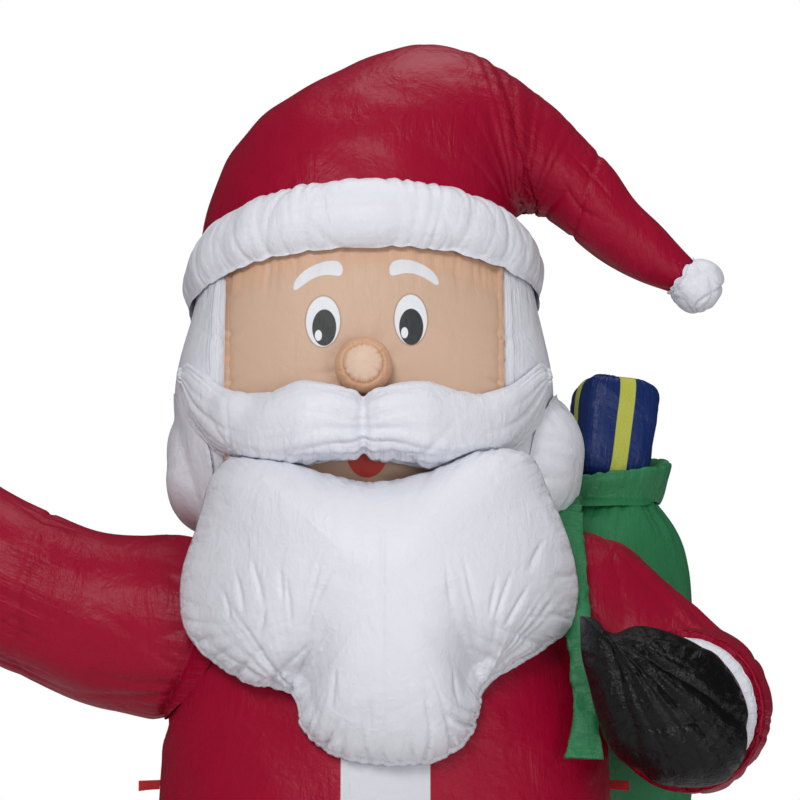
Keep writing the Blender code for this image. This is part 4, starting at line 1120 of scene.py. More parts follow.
def make_tabs():
    """Short loops of tape: a thin rounded section carried out from the coat and back, with a soft droop."""
    z0 = SHOULDER_Z - TAB_DROP
    half_width = float(coat_half(z0)[0])
    for side, name in ((-1, "right_tether_tab"), (1, "left_tether_tab")):
        s = np.linspace(0, 1, 40)[:, None]
        v = turns(28)[None]
        c, sn = rounded(v, 5.0)
        droop = 0.004 * s**2
        wide = TAB_WIDTH / 2 * (1 - 0.10 * np.sin(np.pi * s))
        x = side * (half_width - 0.03 + (TAB_REACH + 0.028) * s) + 0 * v
        y = sn * TAB_THICKNESS / 2 + 0.002 * np.sin(s * 5) + 0 * c
        z = z0 - droop + wide * c
        grid = np.stack([x, y, z], axis=-1)
        sew(name, grid, 0.0, webbing(), v / (2 * np.pi) + 0 * s, s * TAB_REACH + 0 * v, 0.06,
            against=("coat_form",), gap=0.0006)


def make_base():
    """A flat padded base: a level oval whose edge is a half circle, dented where it is stitched down."""
    half, edge = BASE_WIDTH / 2, BASE_HEIGHT / 2
    angle = np.linspace(np.pi / 2, -np.pi / 2, 20)
    r = np.concatenate([np.linspace(0.01, 1, 20)[:-1] * (half - edge), half - edge + edge * np.cos(angle),
                        np.linspace(1, 0.01, 8)[1:] * (half - edge)])
    z = np.concatenate([np.full(19, BASE_HEIGHT), edge + edge * np.sin(angle), np.zeros(7)])
    u = turns(160)[None]
    share = BASE_DEPTH / BASE_WIDTH
    grid = np.stack([r[:, None] * np.cos(u), r[:, None] * share * np.sin(u), z[:, None] + 0 * u], axis=-1)
    away = np.abs(half - r)[:, None] + 0 * u
    above = np.clip(z / BASE_HEIGHT, 0, 1)[:, None]
    push = folds(u / (2 * np.pi), away, 3.6, 61, 70, 0.012, 0.09, 0.009) * above
    push += 0.004 * (1 + waves(grid, 62, 0.3)) * above
    push = np.maximum(push, 0)
    place = u / (2 * np.pi) + 0 * away
    sew("base", grid, push, plain_cloth("base"), place, away, 3.6)


def make_legs():
    """Boots, trouser legs and boot cuffs, each a stack of level sections or a padded ring."""
    for side, name, seed in ((-1, "right", 71), (1, "left", 81)):
        dense = smooth_rows(BOOT_SECTIONS, 60)
        flat = np.zeros(60)
        low = BASE_HEIGHT + 0.001
        rows = np.column_stack([
            flat + side * STANCE, -dense[:, 3] * BOOT_LENGTH, low + dense[:, 0] * (BOOT_HEIGHT - 0.001),
            flat, flat, dense[:, 1] * BOOT_WIDTH / 2, dense[:, 2] * BOOT_LENGTH / 2,
        ])
        grid = section_grid(close_ends(rows), 100, 2.3)
        away = np.maximum(grid[..., 2] - low, 0)
        push = folds(columns(grid), np.minimum(away, low + BOOT_HEIGHT - grid[..., 2]), 1.8, seed, 34, 0.012,
                     0.08, 0.009) * np.minimum(away / 0.01, 1)
        push += 0.010 * (1 - crumple(grid, seed + 1, 0.30)) * np.clip(away / 0.1, 0, 1)
        sew(name + "_boot", grid, push, plain_cloth("black"), columns(grid), away, 1.8)

        low = BASE_HEIGHT + BOOT_HEIGHT
        high = COAT_BOTTOM
        shares = smooth_rows(((0.80, 0.0), (1.02, 0.3), (1.04, 0.7), (0.98, 1.0)), 44)
        flat = np.zeros(44)
        half = LEG_WIDTH / 2 * shares[:, 0] - 0.002
        rows = np.column_stack([flat + side * STANCE, flat, low + (high - low) * shares[:, 1], flat, flat,
                                half, half])
        grid = section_grid(close_ends(rows), 100)
        away = np.minimum(grid[..., 2] - low, high - grid[..., 2])
        push = folds(columns(grid), away, 1.25, seed + 2, 28, 0.010, 0.09, 0.012)
        push += 0.004 * waves(grid, seed + 3, 0.2)
        push = push * np.minimum(np.maximum(away, 0) / 0.01, 1)
        sew(name + "_leg", grid, push, plain_cloth("red"), columns(grid), away, 1.25,
            against=(name + "_boot_form", "coat_form"))
        across = BOOT_CUFF_PUFF
        grid, place, v = ring_tube((side * STANCE, 0, low), BOOT_WIDTH * 0.42, BOOT_WIDTH * 0.42, across,
                                   across, 0, (150, 24))
        gathered_ring(name + "_boot_cuff", grid, place, v, across, 1.3, seed + 4,
                      (name + "_boot_form", name + "_leg_form"), 34)


def make_hat():
    """Sections that lean from the band to the tail, over a lining that follows the crown of the head."""
    crown = level_rows(HEAD_SECTIONS, 70, (HEAD_WIDTH + 0.008, HEAD_DEPTH + 0.008, HEAD_HEIGHT + 0.004),
                       (HEAD_OFFSET, 0, HEAD_BOTTOM))
    crown = crown[crown[:, 2] > BRIM_Z + HAT_RISE]
    lining = close_ends(crown, 0.0, 0.0, 5)[5:][::-1]
    dense = smooth_rows(HAT_SECTIONS, HAT_ROWS)
    flat = np.zeros(len(dense))
    outer = np.column_stack([
        HEAD_OFFSET + dense[:, 0] * HAT_WIDTH, flat, BRIM_Z + HAT_RISE + dense[:, 1] * HAT_WIDTH,
        dense[:, 2], flat, dense[:, 3] * HAT_WIDTH, dense[:, 4] * HAT_WIDTH,
    ])
    rows = np.vstack([lining, close_ends(outer, 0.0, 0.02, 6)[6:]])
    grid = section_grid(rows, 200, 2.0)
    inside = np.arange(len(rows))[:, None] < len(lining)
    x, y, z = grid[..., 0], grid[..., 1], grid[..., 2]
    along = reach_along(grid)
    along = (along - along[len(lining)])[:, None] + 0 * z
    above = z + np.clip(brim_sag(x), 0, 0.06) - BRIM_Z - 0.085 - 0.176 * y
    rim = np.maximum(np.maximum(above, along - 0.35), 0)
    push = folds(columns(grid), rim, 2.4, 91, 64, 0.007, 0.07, 0.010, 0.3)
    push += 0.010 * bell(rim, 0.02)
    push += fan(grid, HAT_CORNER, (0, 2), 92, 13, 105.0, 34.0, 0.010, 0.26, 0.013)
    push += fan(grid, HAT_CORNER, (0, 2), 93, 5, 44.0, 80.0, 0.013, 0.42, 0.010)
    bend = along - float(along[len(lining) + HAT_BEND_ROW, 0])
    push += 0.006 * bell(bend, 0.010)
    push += folds(columns(grid), np.abs(bend), 1.5, 94, 22, 0.010, 0.07, 0.009, 0.3)
    notch = along - float(along[len(lining) + HAT_NOTCH_ROW, 0])
    push += 0.005 * bell(notch, 0.008)
    push += folds(columns(grid), np.abs(notch), 1.0, 95, 14, 0.009, 0.05, 0.008, 0.3)
    tip = along[-1, 0] - along
    push += folds(columns(grid), tip, 0.45, 96, 16, 0.006, 0.06, 0.008, 0.3)
    push += 0.006 * waves(grid, 97, 0.45) + 0.0025 * waves(grid, 98, 0.15)
    push = np.where(inside, 0.0, push)
    away = np.minimum(rim, np.abs(bend) + 0.02)
    sew("hat", grid, push, plain_cloth("red"), columns(grid), away, 2.4,
        against=("head_form",), gap=0.002)

    centre = (HEAD_OFFSET - BRIM_SHIFT, 0, BRIM_Z)
    middle = HAT_WIDTH / 2 - BRIM_PUFF * 0.38
    grid, place, v = ring_tube(centre, middle, middle * 0.97, BRIM_PUFF, BRIM_PUFF * 1.05,
                               -BRIM_TILT, (520, 56), 2.2)
    grid[..., 2] -= brim_sag(grid[..., 0])
    gathered_ring("hat_brim", grid, place, v, BRIM_PUFF, 2.6, 101, ("head_form",), 120, deep=0.0105,
                  gap=0.010)
    make_pompom()


def make_pompom():
    """A small stuffed bag: a ball, (cos v cos u, cos v sin u, sin v) times its size, crumpled all over."""
    side, rise, lean = HAT_SECTIONS[-1][:3]
    angle = math.radians(lean)
    reach = POMPOM_RADIUS * 0.62
    tail = heading(lean)
    up = np.array([math.cos(angle), 0, -math.sin(angle)])
    end = np.array([HEAD_OFFSET + side * HAT_WIDTH, 0, BRIM_Z + HAT_RISE + rise * HAT_WIDTH])
    centre = end + reach * tail
    v = np.linspace(-np.pi / 2, np.pi / 2, 72)[1:-1, None]
    u = turns(96)[None]
    cv, sv = rounded(v, 2.4)
    cu, su = rounded(u, 2.3)
    grid = centre + POMPOM_RADIUS * (
        (cv * cu)[..., None] * up + (cv * su)[..., None] * np.array([0, 1, 0])
        + (0.9 * sv + 0 * u)[..., None] * tail
    )
    away = (v + np.pi / 2) * POMPOM_RADIUS + 0 * u
    push = 0.009 * (1 - crumple(grid, 105, 0.09, 5)) + folds(
        u / (2 * np.pi), away, 0.45, 106, 16, 0.007, 0.07, 0.010)
    sew("hat_pompom", grid, push, plain_cloth("white"), u / (2 * np.pi) + 0 * v, away, 0.45,
        against=("hat_form",))


def make_whiskers():
    """A roll of hair from cheek to cheek round the nape: sections set square to an arc of 256°."""
    reach = (HEAD_WIDTH * WHISKER_SPAN + WHISKER_PUFF * 0.25) / 2
    deep = HEAD_DEPTH * WHISKER_SPAN / 2
    share = np.linspace(-1, 1, 230)
    angle = math.radians(128) * share
    turn = np.degrees(np.arctan2(-deep * np.sin(angle), reach * np.cos(angle)))
    full = np.sqrt(np.maximum(0.02, 1 - np.abs(share) ** 9))
    flat = np.zeros(230)
    rows = np.column_stack([
        HEAD_OFFSET * 0.45 + (reach - WHISKER_PUFF / 2) * np.sin(angle),
        (deep - WHISKER_PUFF / 2) * np.cos(angle), flat + HEAD_BOTTOM + WHISKER_RISE,
        flat + 90, turn, full * WHISKER_HEIGHT / 2, full * WHISKER_PUFF / 2,
    ])
    grid = section_grid(rows, 80, 2.2)
    t = columns(grid) * 2 * np.pi
    length = 2.2
    along = (share[:, None] * 0.5 + 0.5) + 0 * t
    low = apart(t, 0.0) * 0.15
    high = np.abs(t - np.pi) * 0.15
    end = (1 - np.abs(share[:, None])) * length / 2 + 0 * t
    push = folds(along, low, length, 111, 44, 0.013, 0.12, 0.014, 0.4)
    push += folds(along, high, length, 112, 44, 0.013, 0.10, 0.013, 0.4)
    push += folds(columns(grid), end, 0.95, 113, 22, 0.009, 0.22, 0.015, 0.2)
    push += 0.007 * bell(low, 0.012) + 0.007 * bell(high, 0.012)
    push += 0.008 * waves(grid, 114, 0.22)
    sew("whiskers", grid, push, plain_cloth("white"), along, np.minimum(low, high), length,
        against=("head_form", "coat_form"))


def make_waving_arm():
    """Sections along the raised arm, gathered at the shoulder, at the elbow's seam and at the wrist."""
    shoulder = float(coat_half(SHOULDER_Z)[0])
    dense = smooth_rows(WAVING_SECTIONS, 170)
    flat = np.zeros(170)
    rows = np.column_stack([
        -shoulder + dense[:, 0] * SLEEVE_WIDTH, flat, SHOULDER_Z + dense[:, 1] * SLEEVE_WIDTH,
        dense[:, 2], flat,
        dense[:, 3] * SLEEVE_WIDTH, dense[:, 3] * SLEEVE_WIDTH * 0.96,
    ])
    dome = 6
    grid = section_grid(close_ends(rows, 0.0, 0.0, dome), 134)
    along = reach_along(grid)[:, None] + 0 * grid[..., 0]
    out = np.maximum(out_of_coat(grid), 0)
    wrist = along[-dome - 1, 0] - along
    elbow = np.abs(along - float(along[ELBOW_ROW, 0]) + 0.016 * waves(grid, 120, 0.3))
    place = columns(grid)
    push = folds(place, out, 1.45, 121, 36, 0.011, 0.13, 0.013, 0.35)
    push += 0.012 * bell(out, 0.02)
    push += folds(place, elbow, 1.3, 122, 22, 0.010, 0.08, 0.012, 0.3)
    push += 0.004 * bell(elbow, 0.012) * (1 + waves(grid, 119, 0.25))
    push += folds(place, np.abs(wrist), 1.1, 123, 34, 0.009, 0.10, 0.012, 0.3)
    push += 0.007 * waves(grid, 124, 0.35) + 0.002 * waves(grid, 125, 0.12)
    away = np.minimum(np.minimum(out, np.abs(wrist)), elbow)
    sew("waving_sleeve", grid, push, plain_cloth("red"), place, away, 1.4,
        against=("coat_form", "whiskers_form"))

    lean = math.radians(rows[-1, 3])
    ahead = heading(rows[-1, 3])
    across = np.array([math.cos(lean), 0, -math.sin(lean)])
    half = rows[-1, 5]
    shares = smooth_rows(((0.0, 0.0), (0.12, 0.9), (0.5, 1.1), (0.88, 0.9), (1.0, 0.1)), 46)
    cuff = np.zeros((46, 7))
    cuff[:, :3] = rows[-1, :3] + (0.002 + shares[:, :1] * (CUFF_LENGTH - 0.003)) * ahead
    cuff[:, 3] = rows[-1, 3]
    cuff[:, 5] = cuff[:, 6] = half + shares[:, 1] * CUFF_PROUD
    grid = section_grid(close_ends(cuff, 0.0, 0.0, 5), 130)
    v = np.concatenate([np.zeros(5), shares[:, 0], np.ones(5)])[:, None] * CUFF_LENGTH + 0 * grid[..., 0]
    ends = np.minimum(v, CUFF_LENGTH - v)
    push = folds(columns(grid), ends, 1.1, 126, 40, 0.008, 0.05, 0.009, 0.3)
    push += 0.003 * waves(grid, 127, 0.1)
    push = np.maximum(push, -0.003)
    sew("waving_cuff", grid, push, plain_cloth("white"), columns(grid), ends, 1.1)

    start = rows[-1, :3] + ahead * (CUFF_LENGTH + 0.002)
    flat, inward, front = outline_grid(WAVING_MITTEN_OUTLINE, (0.48, 0.03), 48, 160, 48)
    puff = MITTEN_THICKNESS / 2 * swell_of(inward) * front
    grid = (start + (flat[..., :1] * MITTEN_LENGTH) * ahead + (flat[..., 1:] * MITTEN_LENGTH) * across
            - puff[..., None] * np.array([0, 1, 0]))
    place = columns(grid)
    away = np.abs(inward) * 0.17 + 0 * place
    push = folds(place, away, 1.3, 128, 44, 0.008, 0.06, 0.010) * (away > 0)
    push += 0.012 * (1 - crumple(grid, 129, 0.12)) * np.minimum(away / 0.04, 1)
    sew("waving_mitten", grid, push, plain_cloth("black"), place, away, 1.3,
        against=("waving_cuff_form",))


def make_holding_arm():
    """A bent sleeve whose open end faces the viewer, a white lining in it, and a mitten round the strap."""
    shoulder = float(coat_half(SHOULDER_Z)[0])
    dense = smooth_rows(HOLDING_SECTIONS, 160)
    flat = np.zeros(160)
    rows = np.column_stack([
        shoulder + dense[:, 0] * SLEEVE_WIDTH, -dense[:, 1] * SLEEVE_WIDTH,
        SHOULDER_Z + dense[:, 2] * SLEEVE_WIDTH,
        dense[:, 3], dense[:, 4], dense[:, 5] * SLEEVE_WIDTH, dense[:, 5] * SLEEVE_WIDTH,
    ])
    dome = 12
    grid = section_grid(close_ends(rows, 0.0, 0.0, dome), 134)
    along = reach_along(grid)[:, None] + 0 * grid[..., 0]
    out = np.maximum(out_of_coat(grid), 0)
    wrist = np.abs(along[-dome - 1, 0] - along)
    place = columns(grid)
    push = folds(place, out, 1.3, 131, 30, 0.011, 0.12, 0.012, 0.35)
    push += 0.010 * bell(out, 0.02)
    push += folds(place, wrist, 1.2, 132, 38, 0.009, 0.10, 0.010, 0.3)
    push += 0.006 * waves(grid, 133, 0.3) + 0.010 * (1 - crumple(grid, 134, 0.42)) * np.minimum(out / 0.1, 1)
    sew("holding_sleeve", grid, push, plain_cloth("red"), place, np.minimum(out, wrist), 1.3,
        against=("coat_form", "whiskers_form"))

    x, y, z, lean, turn, half = rows[-1, :6]
    ahead = heading(lean, turn)
    shares = smooth_rows(((0.0, 0.91), (0.45, 0.88), (0.85, 0.78), (1.0, 0.62)), 30)
    cuff = np.zeros((30, 7))
    cuff[:, :3] = np.array([x, y, z]) + (0.003 + shares[:, :1] * CUFF_LENGTH * 0.45) * ahead
    cuff[:, 3], cuff[:, 4] = lean, turn
    cuff[:, 5] = cuff[:, 6] = half * shares[:, 1]
    grid = section_grid(close_ends(cuff, 0.0, 0.0, 10), 130)
    rim = np.hypot(*(np.stack([grid[..., 0] - x, grid[..., 2] - z])))
    away = np.maximum(half * 0.91 - rim, 0)
    push = folds(columns(grid), away, 1.2, 135, 40, 0.008, 0.06, 0.006, 0.3)
    sew("holding_cuff", grid, push, plain_cloth("white"), columns(grid), away, 1.2,
        against=("coat_form", "holding_sleeve_form"), gap=0.002)

    low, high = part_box("holding_mitten")
    side, rise = HOLDING_MITTEN_PLACE
    centre = np.array([side, (low[1] + high[1]) / 2, rise])
    thick = MITTEN_THICKNESS * 0.55
    flat, inward, front = outline_grid(HOLDING_MITTEN_OUTLINE, (0.02, -0.01), 60, 190, 24)
    puff = thick * swell_of(inward) * front
    grid = np.stack([centre[0] + flat[..., 0], centre[1] - puff + 0 * flat[..., 0],
                     centre[2] + flat[..., 1]], axis=-1)
    place = columns(grid)
    away = np.abs(inward) * 0.19 + 0 * place
    push = folds(place, away, 1.2, 136, 40, 0.007, 0.06, 0.007, 0.5) * (away > 0)
    push += 0.014 * (1 - crumple(grid * [0.7, 1.0, 1.3], 137, 0.34, 5)) * np.minimum(away / 0.05, 1)
    push += fan(grid, THUMB_ROOT, (0, 2), 138, 10, 72.0, -78.0, 0.012, 0.42, 0.018)
    sew("holding_mitten", grid, push, plain_cloth("black"), place, away, 1.2,
        against=("coat_form", "holding_sleeve_form", "holding_cuff_form"))


def make_nose():
    """A ball with a round front panel: (cos v cos u, -sin v, cos v sin u), pinched at the panel's seam."""
    centre = np.array([HEAD_OFFSET, -HEAD_DEPTH / 2 - NOSE_RADIUS * 0.45, HEAD_TOP - NOSE_DROP])
    v = np.linspace(-np.pi / 2, np.pi / 2, 90)[1:-1, None]
    u = turns(120)[None]
    x, z = np.cos(v) * np.cos(u), np.cos(v) * np.sin(u)
    grid = centre + NOSE_RADIUS * np.stack([x, -np.sin(v) + 0 * u, z], axis=-1)
    seam = math.radians(42)
    away = np.abs(v - seam) * NOSE_RADIUS + 0 * u
    push = folds(u / (2 * np.pi), away, 0.34, 141, 30, 0.0035, 0.018, 0.0060, 0.2)
    push += 0.0025 * bell(away, 0.004) + 0.0012 * waves(grid, 142, 0.05)
    front = np.maximum(v - seam, 0) * NOSE_RADIUS + 0 * u
    sew("nose", grid, push, nose_nylon(), u / (2 * np.pi) + 0 * v, front, 0.43,
        against=("head_form",))


def make_moustache():
    """Two lobes in one roll, pinched at the middle: sections square to X that bend back round the face."""
    mirrored = [(-row[0], *row[1:]) for row in MOUSTACHE_SECTIONS[:0:-1]]
    dense = smooth_rows([*mirrored, *MOUSTACHE_SECTIONS], 280)
    flat = np.zeros(280)
    span = MOUSTACHE_HALF_SPAN
    rows = np.column_stack([
        HEAD_OFFSET + dense[:, 0] * span,
        -HEAD_DEPTH / 2 - MOUSTACHE_PROUD + 0.6 * span * dense[:, 0] ** 2,
        HEAD_BOTTOM + MOUSTACHE_RISE + dense[:, 1] * span, flat + 90, flat,
        dense[:, 2] * span, dense[:, 3] * span,
    ])
    grid = section_grid(close_ends(rows, 0.01, 0.01, 6), 104, 2.2)
    t = columns(grid) * 2 * np.pi
    x = grid[..., 0]
    place = (x - HEAD_OFFSET) / 1.2 + 0.5
    low = apart(t, -0.25) * 0.095
    high = apart(t, np.pi - 0.3) * 0.095
    pinch = np.abs(x - HEAD_OFFSET)
    tip = span - pinch
    full = 0.35 + 0.65 * np.clip(tip / 0.16, 0, 1)
    push = folds(place, low, 1.2, 151, 52, 0.007, 0.080, 0.009, 0.5) * full
    push += folds(place, high, 1.2, 152, 52, 0.007, 0.060, 0.008, 0.5) * full
    push += folds(columns(grid), pinch, 0.55, 153, 26, 0.006, 0.15, 0.014, 0.12)
    push += folds(columns(grid), tip, 0.50, 154, 20, 0.006, 0.10, 0.010, 0.12)
    push += 0.005 * bell(low, 0.008) + 0.004 * bell(high, 0.008)
    push += 0.012 * bell(pinch, 0.010) + 0.004 * waves(grid, 155, 0.16)
    sew("moustache", grid, push, plain_cloth("white"), place, np.minimum(low, high), 1.2,
        against=("head_form", "beard_form", "nose_form"))


def make_beard():
    """A padded bib: y = seam - puff·(1 - (1 - inward)^2.4)^0.55 in front and seam + tuck·inward behind,
    less a valley along a line from each notch, with long creases that spread from the notches."""
    flat, inward, front = outline_grid(BEARD_OUTLINE, (0.0, 0.02), 122, 420, 16)
    side, rise = flat[..., 0], flat[..., 1]
    seam = -coat_half(np.array(HEAD_BOTTOM - BEARD_HANG))[1] - BEARD_STAND
    seam = seam + 0.35 * BEARD_HALF_WIDTH * side**2
    swell = BEARD_PUFF * swell_of(inward)
    for notch_side, notch_rise, end_side, end_rise in BEARD_NOTCHES:
        along = np.array([end_side - notch_side, end_rise - notch_rise])
        dx, dz = side - notch_side, rise - notch_rise
        t = (dx * along[0] + dz * along[1]) / (along @ along)
        near = np.clip(t, 0, 1)
        across = np.hypot(dx - near * along[0], dz - near * along[1])
        valley = bell(across, 0.11) * np.minimum(1.0, inward * 6)
        swell = swell - 0.30 * BEARD_PUFF * np.maximum(0.0, 1 - t) * valley
    y = np.where(front > 0, seam - swell, seam + BEARD_TUCK * inward)
    centre_z = HEAD_BOTTOM + BEARD_RISE
    grid = np.stack([side * BEARD_HALF_WIDTH, y, centre_z + rise * BEARD_HALF_WIDTH], axis=-1)
    edge = np.argmax(inward[:, 0] == 0)
    outline = grid[edge]
    steps = np.linalg.norm(np.roll(outline, -1, 0) - outline, axis=1)
    length = float(steps.sum())
    place = np.broadcast_to((np.cumsum(steps) - steps) / length, grid.shape[:2])
    away = np.concatenate([
        np.linalg.norm(np.diff(grid[:edge + 1], axis=0), axis=2)[::-1].cumsum(axis=0)[::-1],
        np.zeros((1, grid.shape[1])), np.linalg.norm(np.diff(grid[edge:], axis=0), axis=2).cumsum(axis=0),
    ])
    low = np.clip((centre_z - outline[:, 2] - 0.02) / 0.16, 0, 1)[None]
    top = np.clip((outline[:, 2] - centre_z - 0.22) / 0.06, 0, 1)[None]
    mid = np.clip(1 - low - top, 0, 1)
    push = folds(place, away, length, 161, 96, 0.0070, 0.13, 0.020, 0.2)
    push *= low + 0.45 * mid + 0.3 * top
    fine = folds(place, away, length, 162, 150, 0.0045, 0.07, 0.010, 0.3)
    push += fine * (low + 0.6 * mid + 1.2 * top)
    wide = folds(place, away, length, 163, 40, 0.011, 0.17, 0.012, 0.3)
    push += wide * (low + 0.3 * mid + 0.1 * top)
    inner = np.clip((0.86 - inward) / 0.45, 0, 1)
    push *= inner**2 * (3 - 2 * inner) * (1 - 0.55 * bell(away, 0.022))
    for notch, start, seed in ((BEARD_NOTCHES[0], 58.0, 164), (BEARD_NOTCHES[1], 30.0, 165)):
        notch_side, notch_rise = notch[:2]
        at = (notch_side * BEARD_HALF_WIDTH, centre_z + notch_rise * BEARD_HALF_WIDTH)
        push += fan(grid, at, (0, 2), seed, 15, 92.0, start, 0.009, 0.19, 0.015)
    made = [crease(flat, mark, 0.015, 0.008) for mark in BEARD_CREASES]
    push = np.maximum(push, np.max(made, axis=0) * (front > 0))
    push += 0.010 * bell(away - 0.024, 0.006) * low * (front > 0)
    push += 0.005 * waves(grid, 166, 0.35) * np.clip(away / 0.1, 0, 1)
    push += 0.0025 * bell(grid[..., 0], 0.006) * (grid[..., 2] < centre_z + 0.15)
    push = push * np.where(front > 0, 1.0, 0.3)
    sew("beard", grid, push, plain_cloth("white"), place, away, length,
        against=("coat_form", "head_form", "whiskers_form", "waving_sleeve_form", "holding_sleeve_form",
                 "holding_mitten_form"))


def sack_rows(count):
    """Level round sections of the sack, whose centres lean towards its neck."""
    foot = SHOULDER_Z + SACK_ABOVE_SHOULDER - SACK_HEIGHT
    dense = smooth_rows(SACK_SECTIONS, count)
    half = dense[:, 1] * SACK_WIDTH / 2
    flat = np.zeros(count)
    return np.column_stack([
        SACK_OUT * COAT_WIDTH + dense[:, 2] * SACK_WIDTH, SACK_BACK * COAT_DEPTH + dense[:, 3] * SACK_WIDTH,
        foot + dense[:, 0] * SACK_HEIGHT, flat, flat, half, half * 0.94,
    ])


def make_sack():
    """The sack, the present in its mouth, its gathered collar and the strap over the shoulder."""
    rows = sack_rows(150)
    grid = section_grid(close_ends(rows, 0.0, 0.0, 6), 140)
    z = grid[..., 2]
    top = np.maximum(rows[-1, 2] - z, 0)
    foot = np.maximum(z - rows[0, 2], 0)
    push = folds(columns(grid), top, 1.6, 171, 34, 0.013, 0.20, 0.020, 0.25)
    push += folds(columns(grid), foot, 1.6, 172, 26, 0.018, 0.18, 0.016, 0.25)
    push += 0.012 * waves(grid, 173, 0.35) + 0.010 * (1 - crumple(grid, 174, 0.45))
    sew("sack", grid, push, plain_cloth("green"), columns(grid), np.minimum(top, foot), 1.6,
        against=("coat_form", "belt_form", "holding_sleeve_form", "head_form", "whiskers_form"))
    neck = rows[-1, :3]
    make_present(neck)
    shares = smooth_rows(
        ((-0.28, 0.80), (0.00, 0.93), (0.50, 1.0), (0.88, 1.06), (1.00, 0.99), (0.92, 0.86)), 50)
    flat = np.zeros(50)
    collar = np.column_stack([
        neck[0] + shares[:, 0] * COLLAR_HEIGHT * 0.18, flat + neck[1], neck[2] + shares[:, 0] * COLLAR_HEIGHT,
        flat - 5, flat, shares[:, 1] * COLLAR_WIDTH / 2, shares[:, 1] * COLLAR_WIDTH * 0.44,
    ])
    grid = section_grid(close_ends(collar, 0.0, -0.01, 6), 160)
    grid[..., 2] += (grid[..., 1] - neck[1]) * 0.22 - 0.012
    v = reach_along(grid)[:, None] + 0 * grid[..., 0]
    edge = np.abs(v - float(v[-12, 0]))
    push = folds(columns(grid), v, 1.15, 175, 26, 0.011, 0.07, 0.014, 0.3)
    push += folds(columns(grid), edge, 1.15, 176, 30, 0.009, 0.06, 0.010, 0.3)
    push += 0.006 * waves(grid, 177, 0.16)
    away = np.minimum(v, edge)
    sew("sack_collar", grid, push, plain_cloth("green"), columns(grid), away, 1.15,
        against=("head_form", "whiskers_form", "sack_form", "present_form", "holding_sleeve_form"), gap=0.002)
    make_strap()


def make_present(neck):
    """A puffed box: level superellipses whose half sizes fall off near the top and the bottom."""
    turn = (math.radians(-3), math.radians(8), math.radians(14))
    centre = np.array([neck[0] + PRESENT_OUT, neck[1] + PRESENT_OUT * 0.2,
                       neck[2] + COLLAR_HEIGHT + PRESENT_SHOW - PRESENT_HEIGHT / 2])
    v = np.linspace(-np.pi / 2, np.pi / 2, 82)[1:-1, None]
    u = turns(130)[None]
    cv, sv = rounded(v, 5.0)
    cu, su = rounded(u, 4.6)
    swell = 0.98 + 0.06 * sv
    x = PRESENT_WIDTH / 2 * cv * cu * swell
    y = PRESENT_WIDTH / 2 * cv * su * swell
    z = PRESENT_HEIGHT / 2 * sv + 0 * u
    top = PRESENT_HEIGHT / 2 - np.abs(z)
    local = np.stack([x, y, z], axis=-1)
    push = folds(u / (2 * np.pi) + 0 * v, top, 0.75, 181, 30, 0.006, 0.05, 0.006, 0.3)
    beside = PRESENT_WIDTH / 2 - np.minimum(np.abs(x), np.abs(y))
    push += folds(z / 0.6 + 0.5, beside, 0.6, 182, 20, 0.006, 0.04, 0.006, 0.3)
    push += 0.003 * waves(local, 183, 0.10)
    turned = np.array(Euler(turn).to_matrix())
    grid = local @ turned.T + centre
    material = present_nylon(tuple(centre), turn)
    sew("present", grid, push, material, u / (2 * np.pi) + 0 * v, top, 0.75,
        against=("sack_form", "whiskers_form"), gap=0.002)


def make_strap():
    """A crumpled flat tape: a rounded section set square to a smooth path, narrowed and twisted a little."""
    dense = smooth_rows(STRAP_PATH, 200)
    path = np.column_stack([dense[:, 0] * COAT_WIDTH / 2, -dense[:, 1] * COAT_DEPTH / 2,
                            SHOULDER_Z + dense[:, 2] * SACK_ABOVE_SHOULDER])
    along = np.gradient(path, axis=0)
    along /= np.linalg.norm(along, axis=1)[:, None]
    wide = np.array([1.0, 0.0, 0.0]) - along * along[:, :1]
    wide /= np.linalg.norm(wide, axis=1)[:, None]
    thick = np.cross(along, wide)
    v = turns(36)[None]
    c, s = rounded(v, 4.0)
    size = dense[:, 3, None]
    ruffle = 0.30 * np.sin(np.linspace(0, 34, 200))[:, None] * np.cos(2 * v)
    grid = (path[:, None] + (c * size * STRAP_WIDTH * 0.5)[..., None] * wide[:, None]
            + (s * (1 + ruffle) * STRAP_THICKNESS * 0.42 + 0 * size)[..., None] * thick[:, None])
    push = 0.006 * (1 - crumple(grid, 191, 0.07)) + 0.003 * waves(grid, 192, 0.06)
    away = np.abs(c) * 0.035 + 0 * size
    place = np.linspace(0, 1, 200)[:, None] + 0 * v
    sew("sack_strap", grid, push, plain_cloth("green"), place, 0.035 - away, 1.0,
        against=("coat_form", "holding_sleeve_form", "sack_form", "sack_collar_form"), gap=0.002)


def area_light(name, place, aim, size, power):
    """A round white light that faces a point."""
    data = bpy.data.lights.new(name, "AREA")
    data.shape = "DISK"
    data.size = size
    data.energy = power
    lamp = add_object(name, data)
    lamp.location = place
    lamp.rotation_euler = (Vector(aim) - Vector(place)).to_track_quat("-Z", "Y").to_euler()


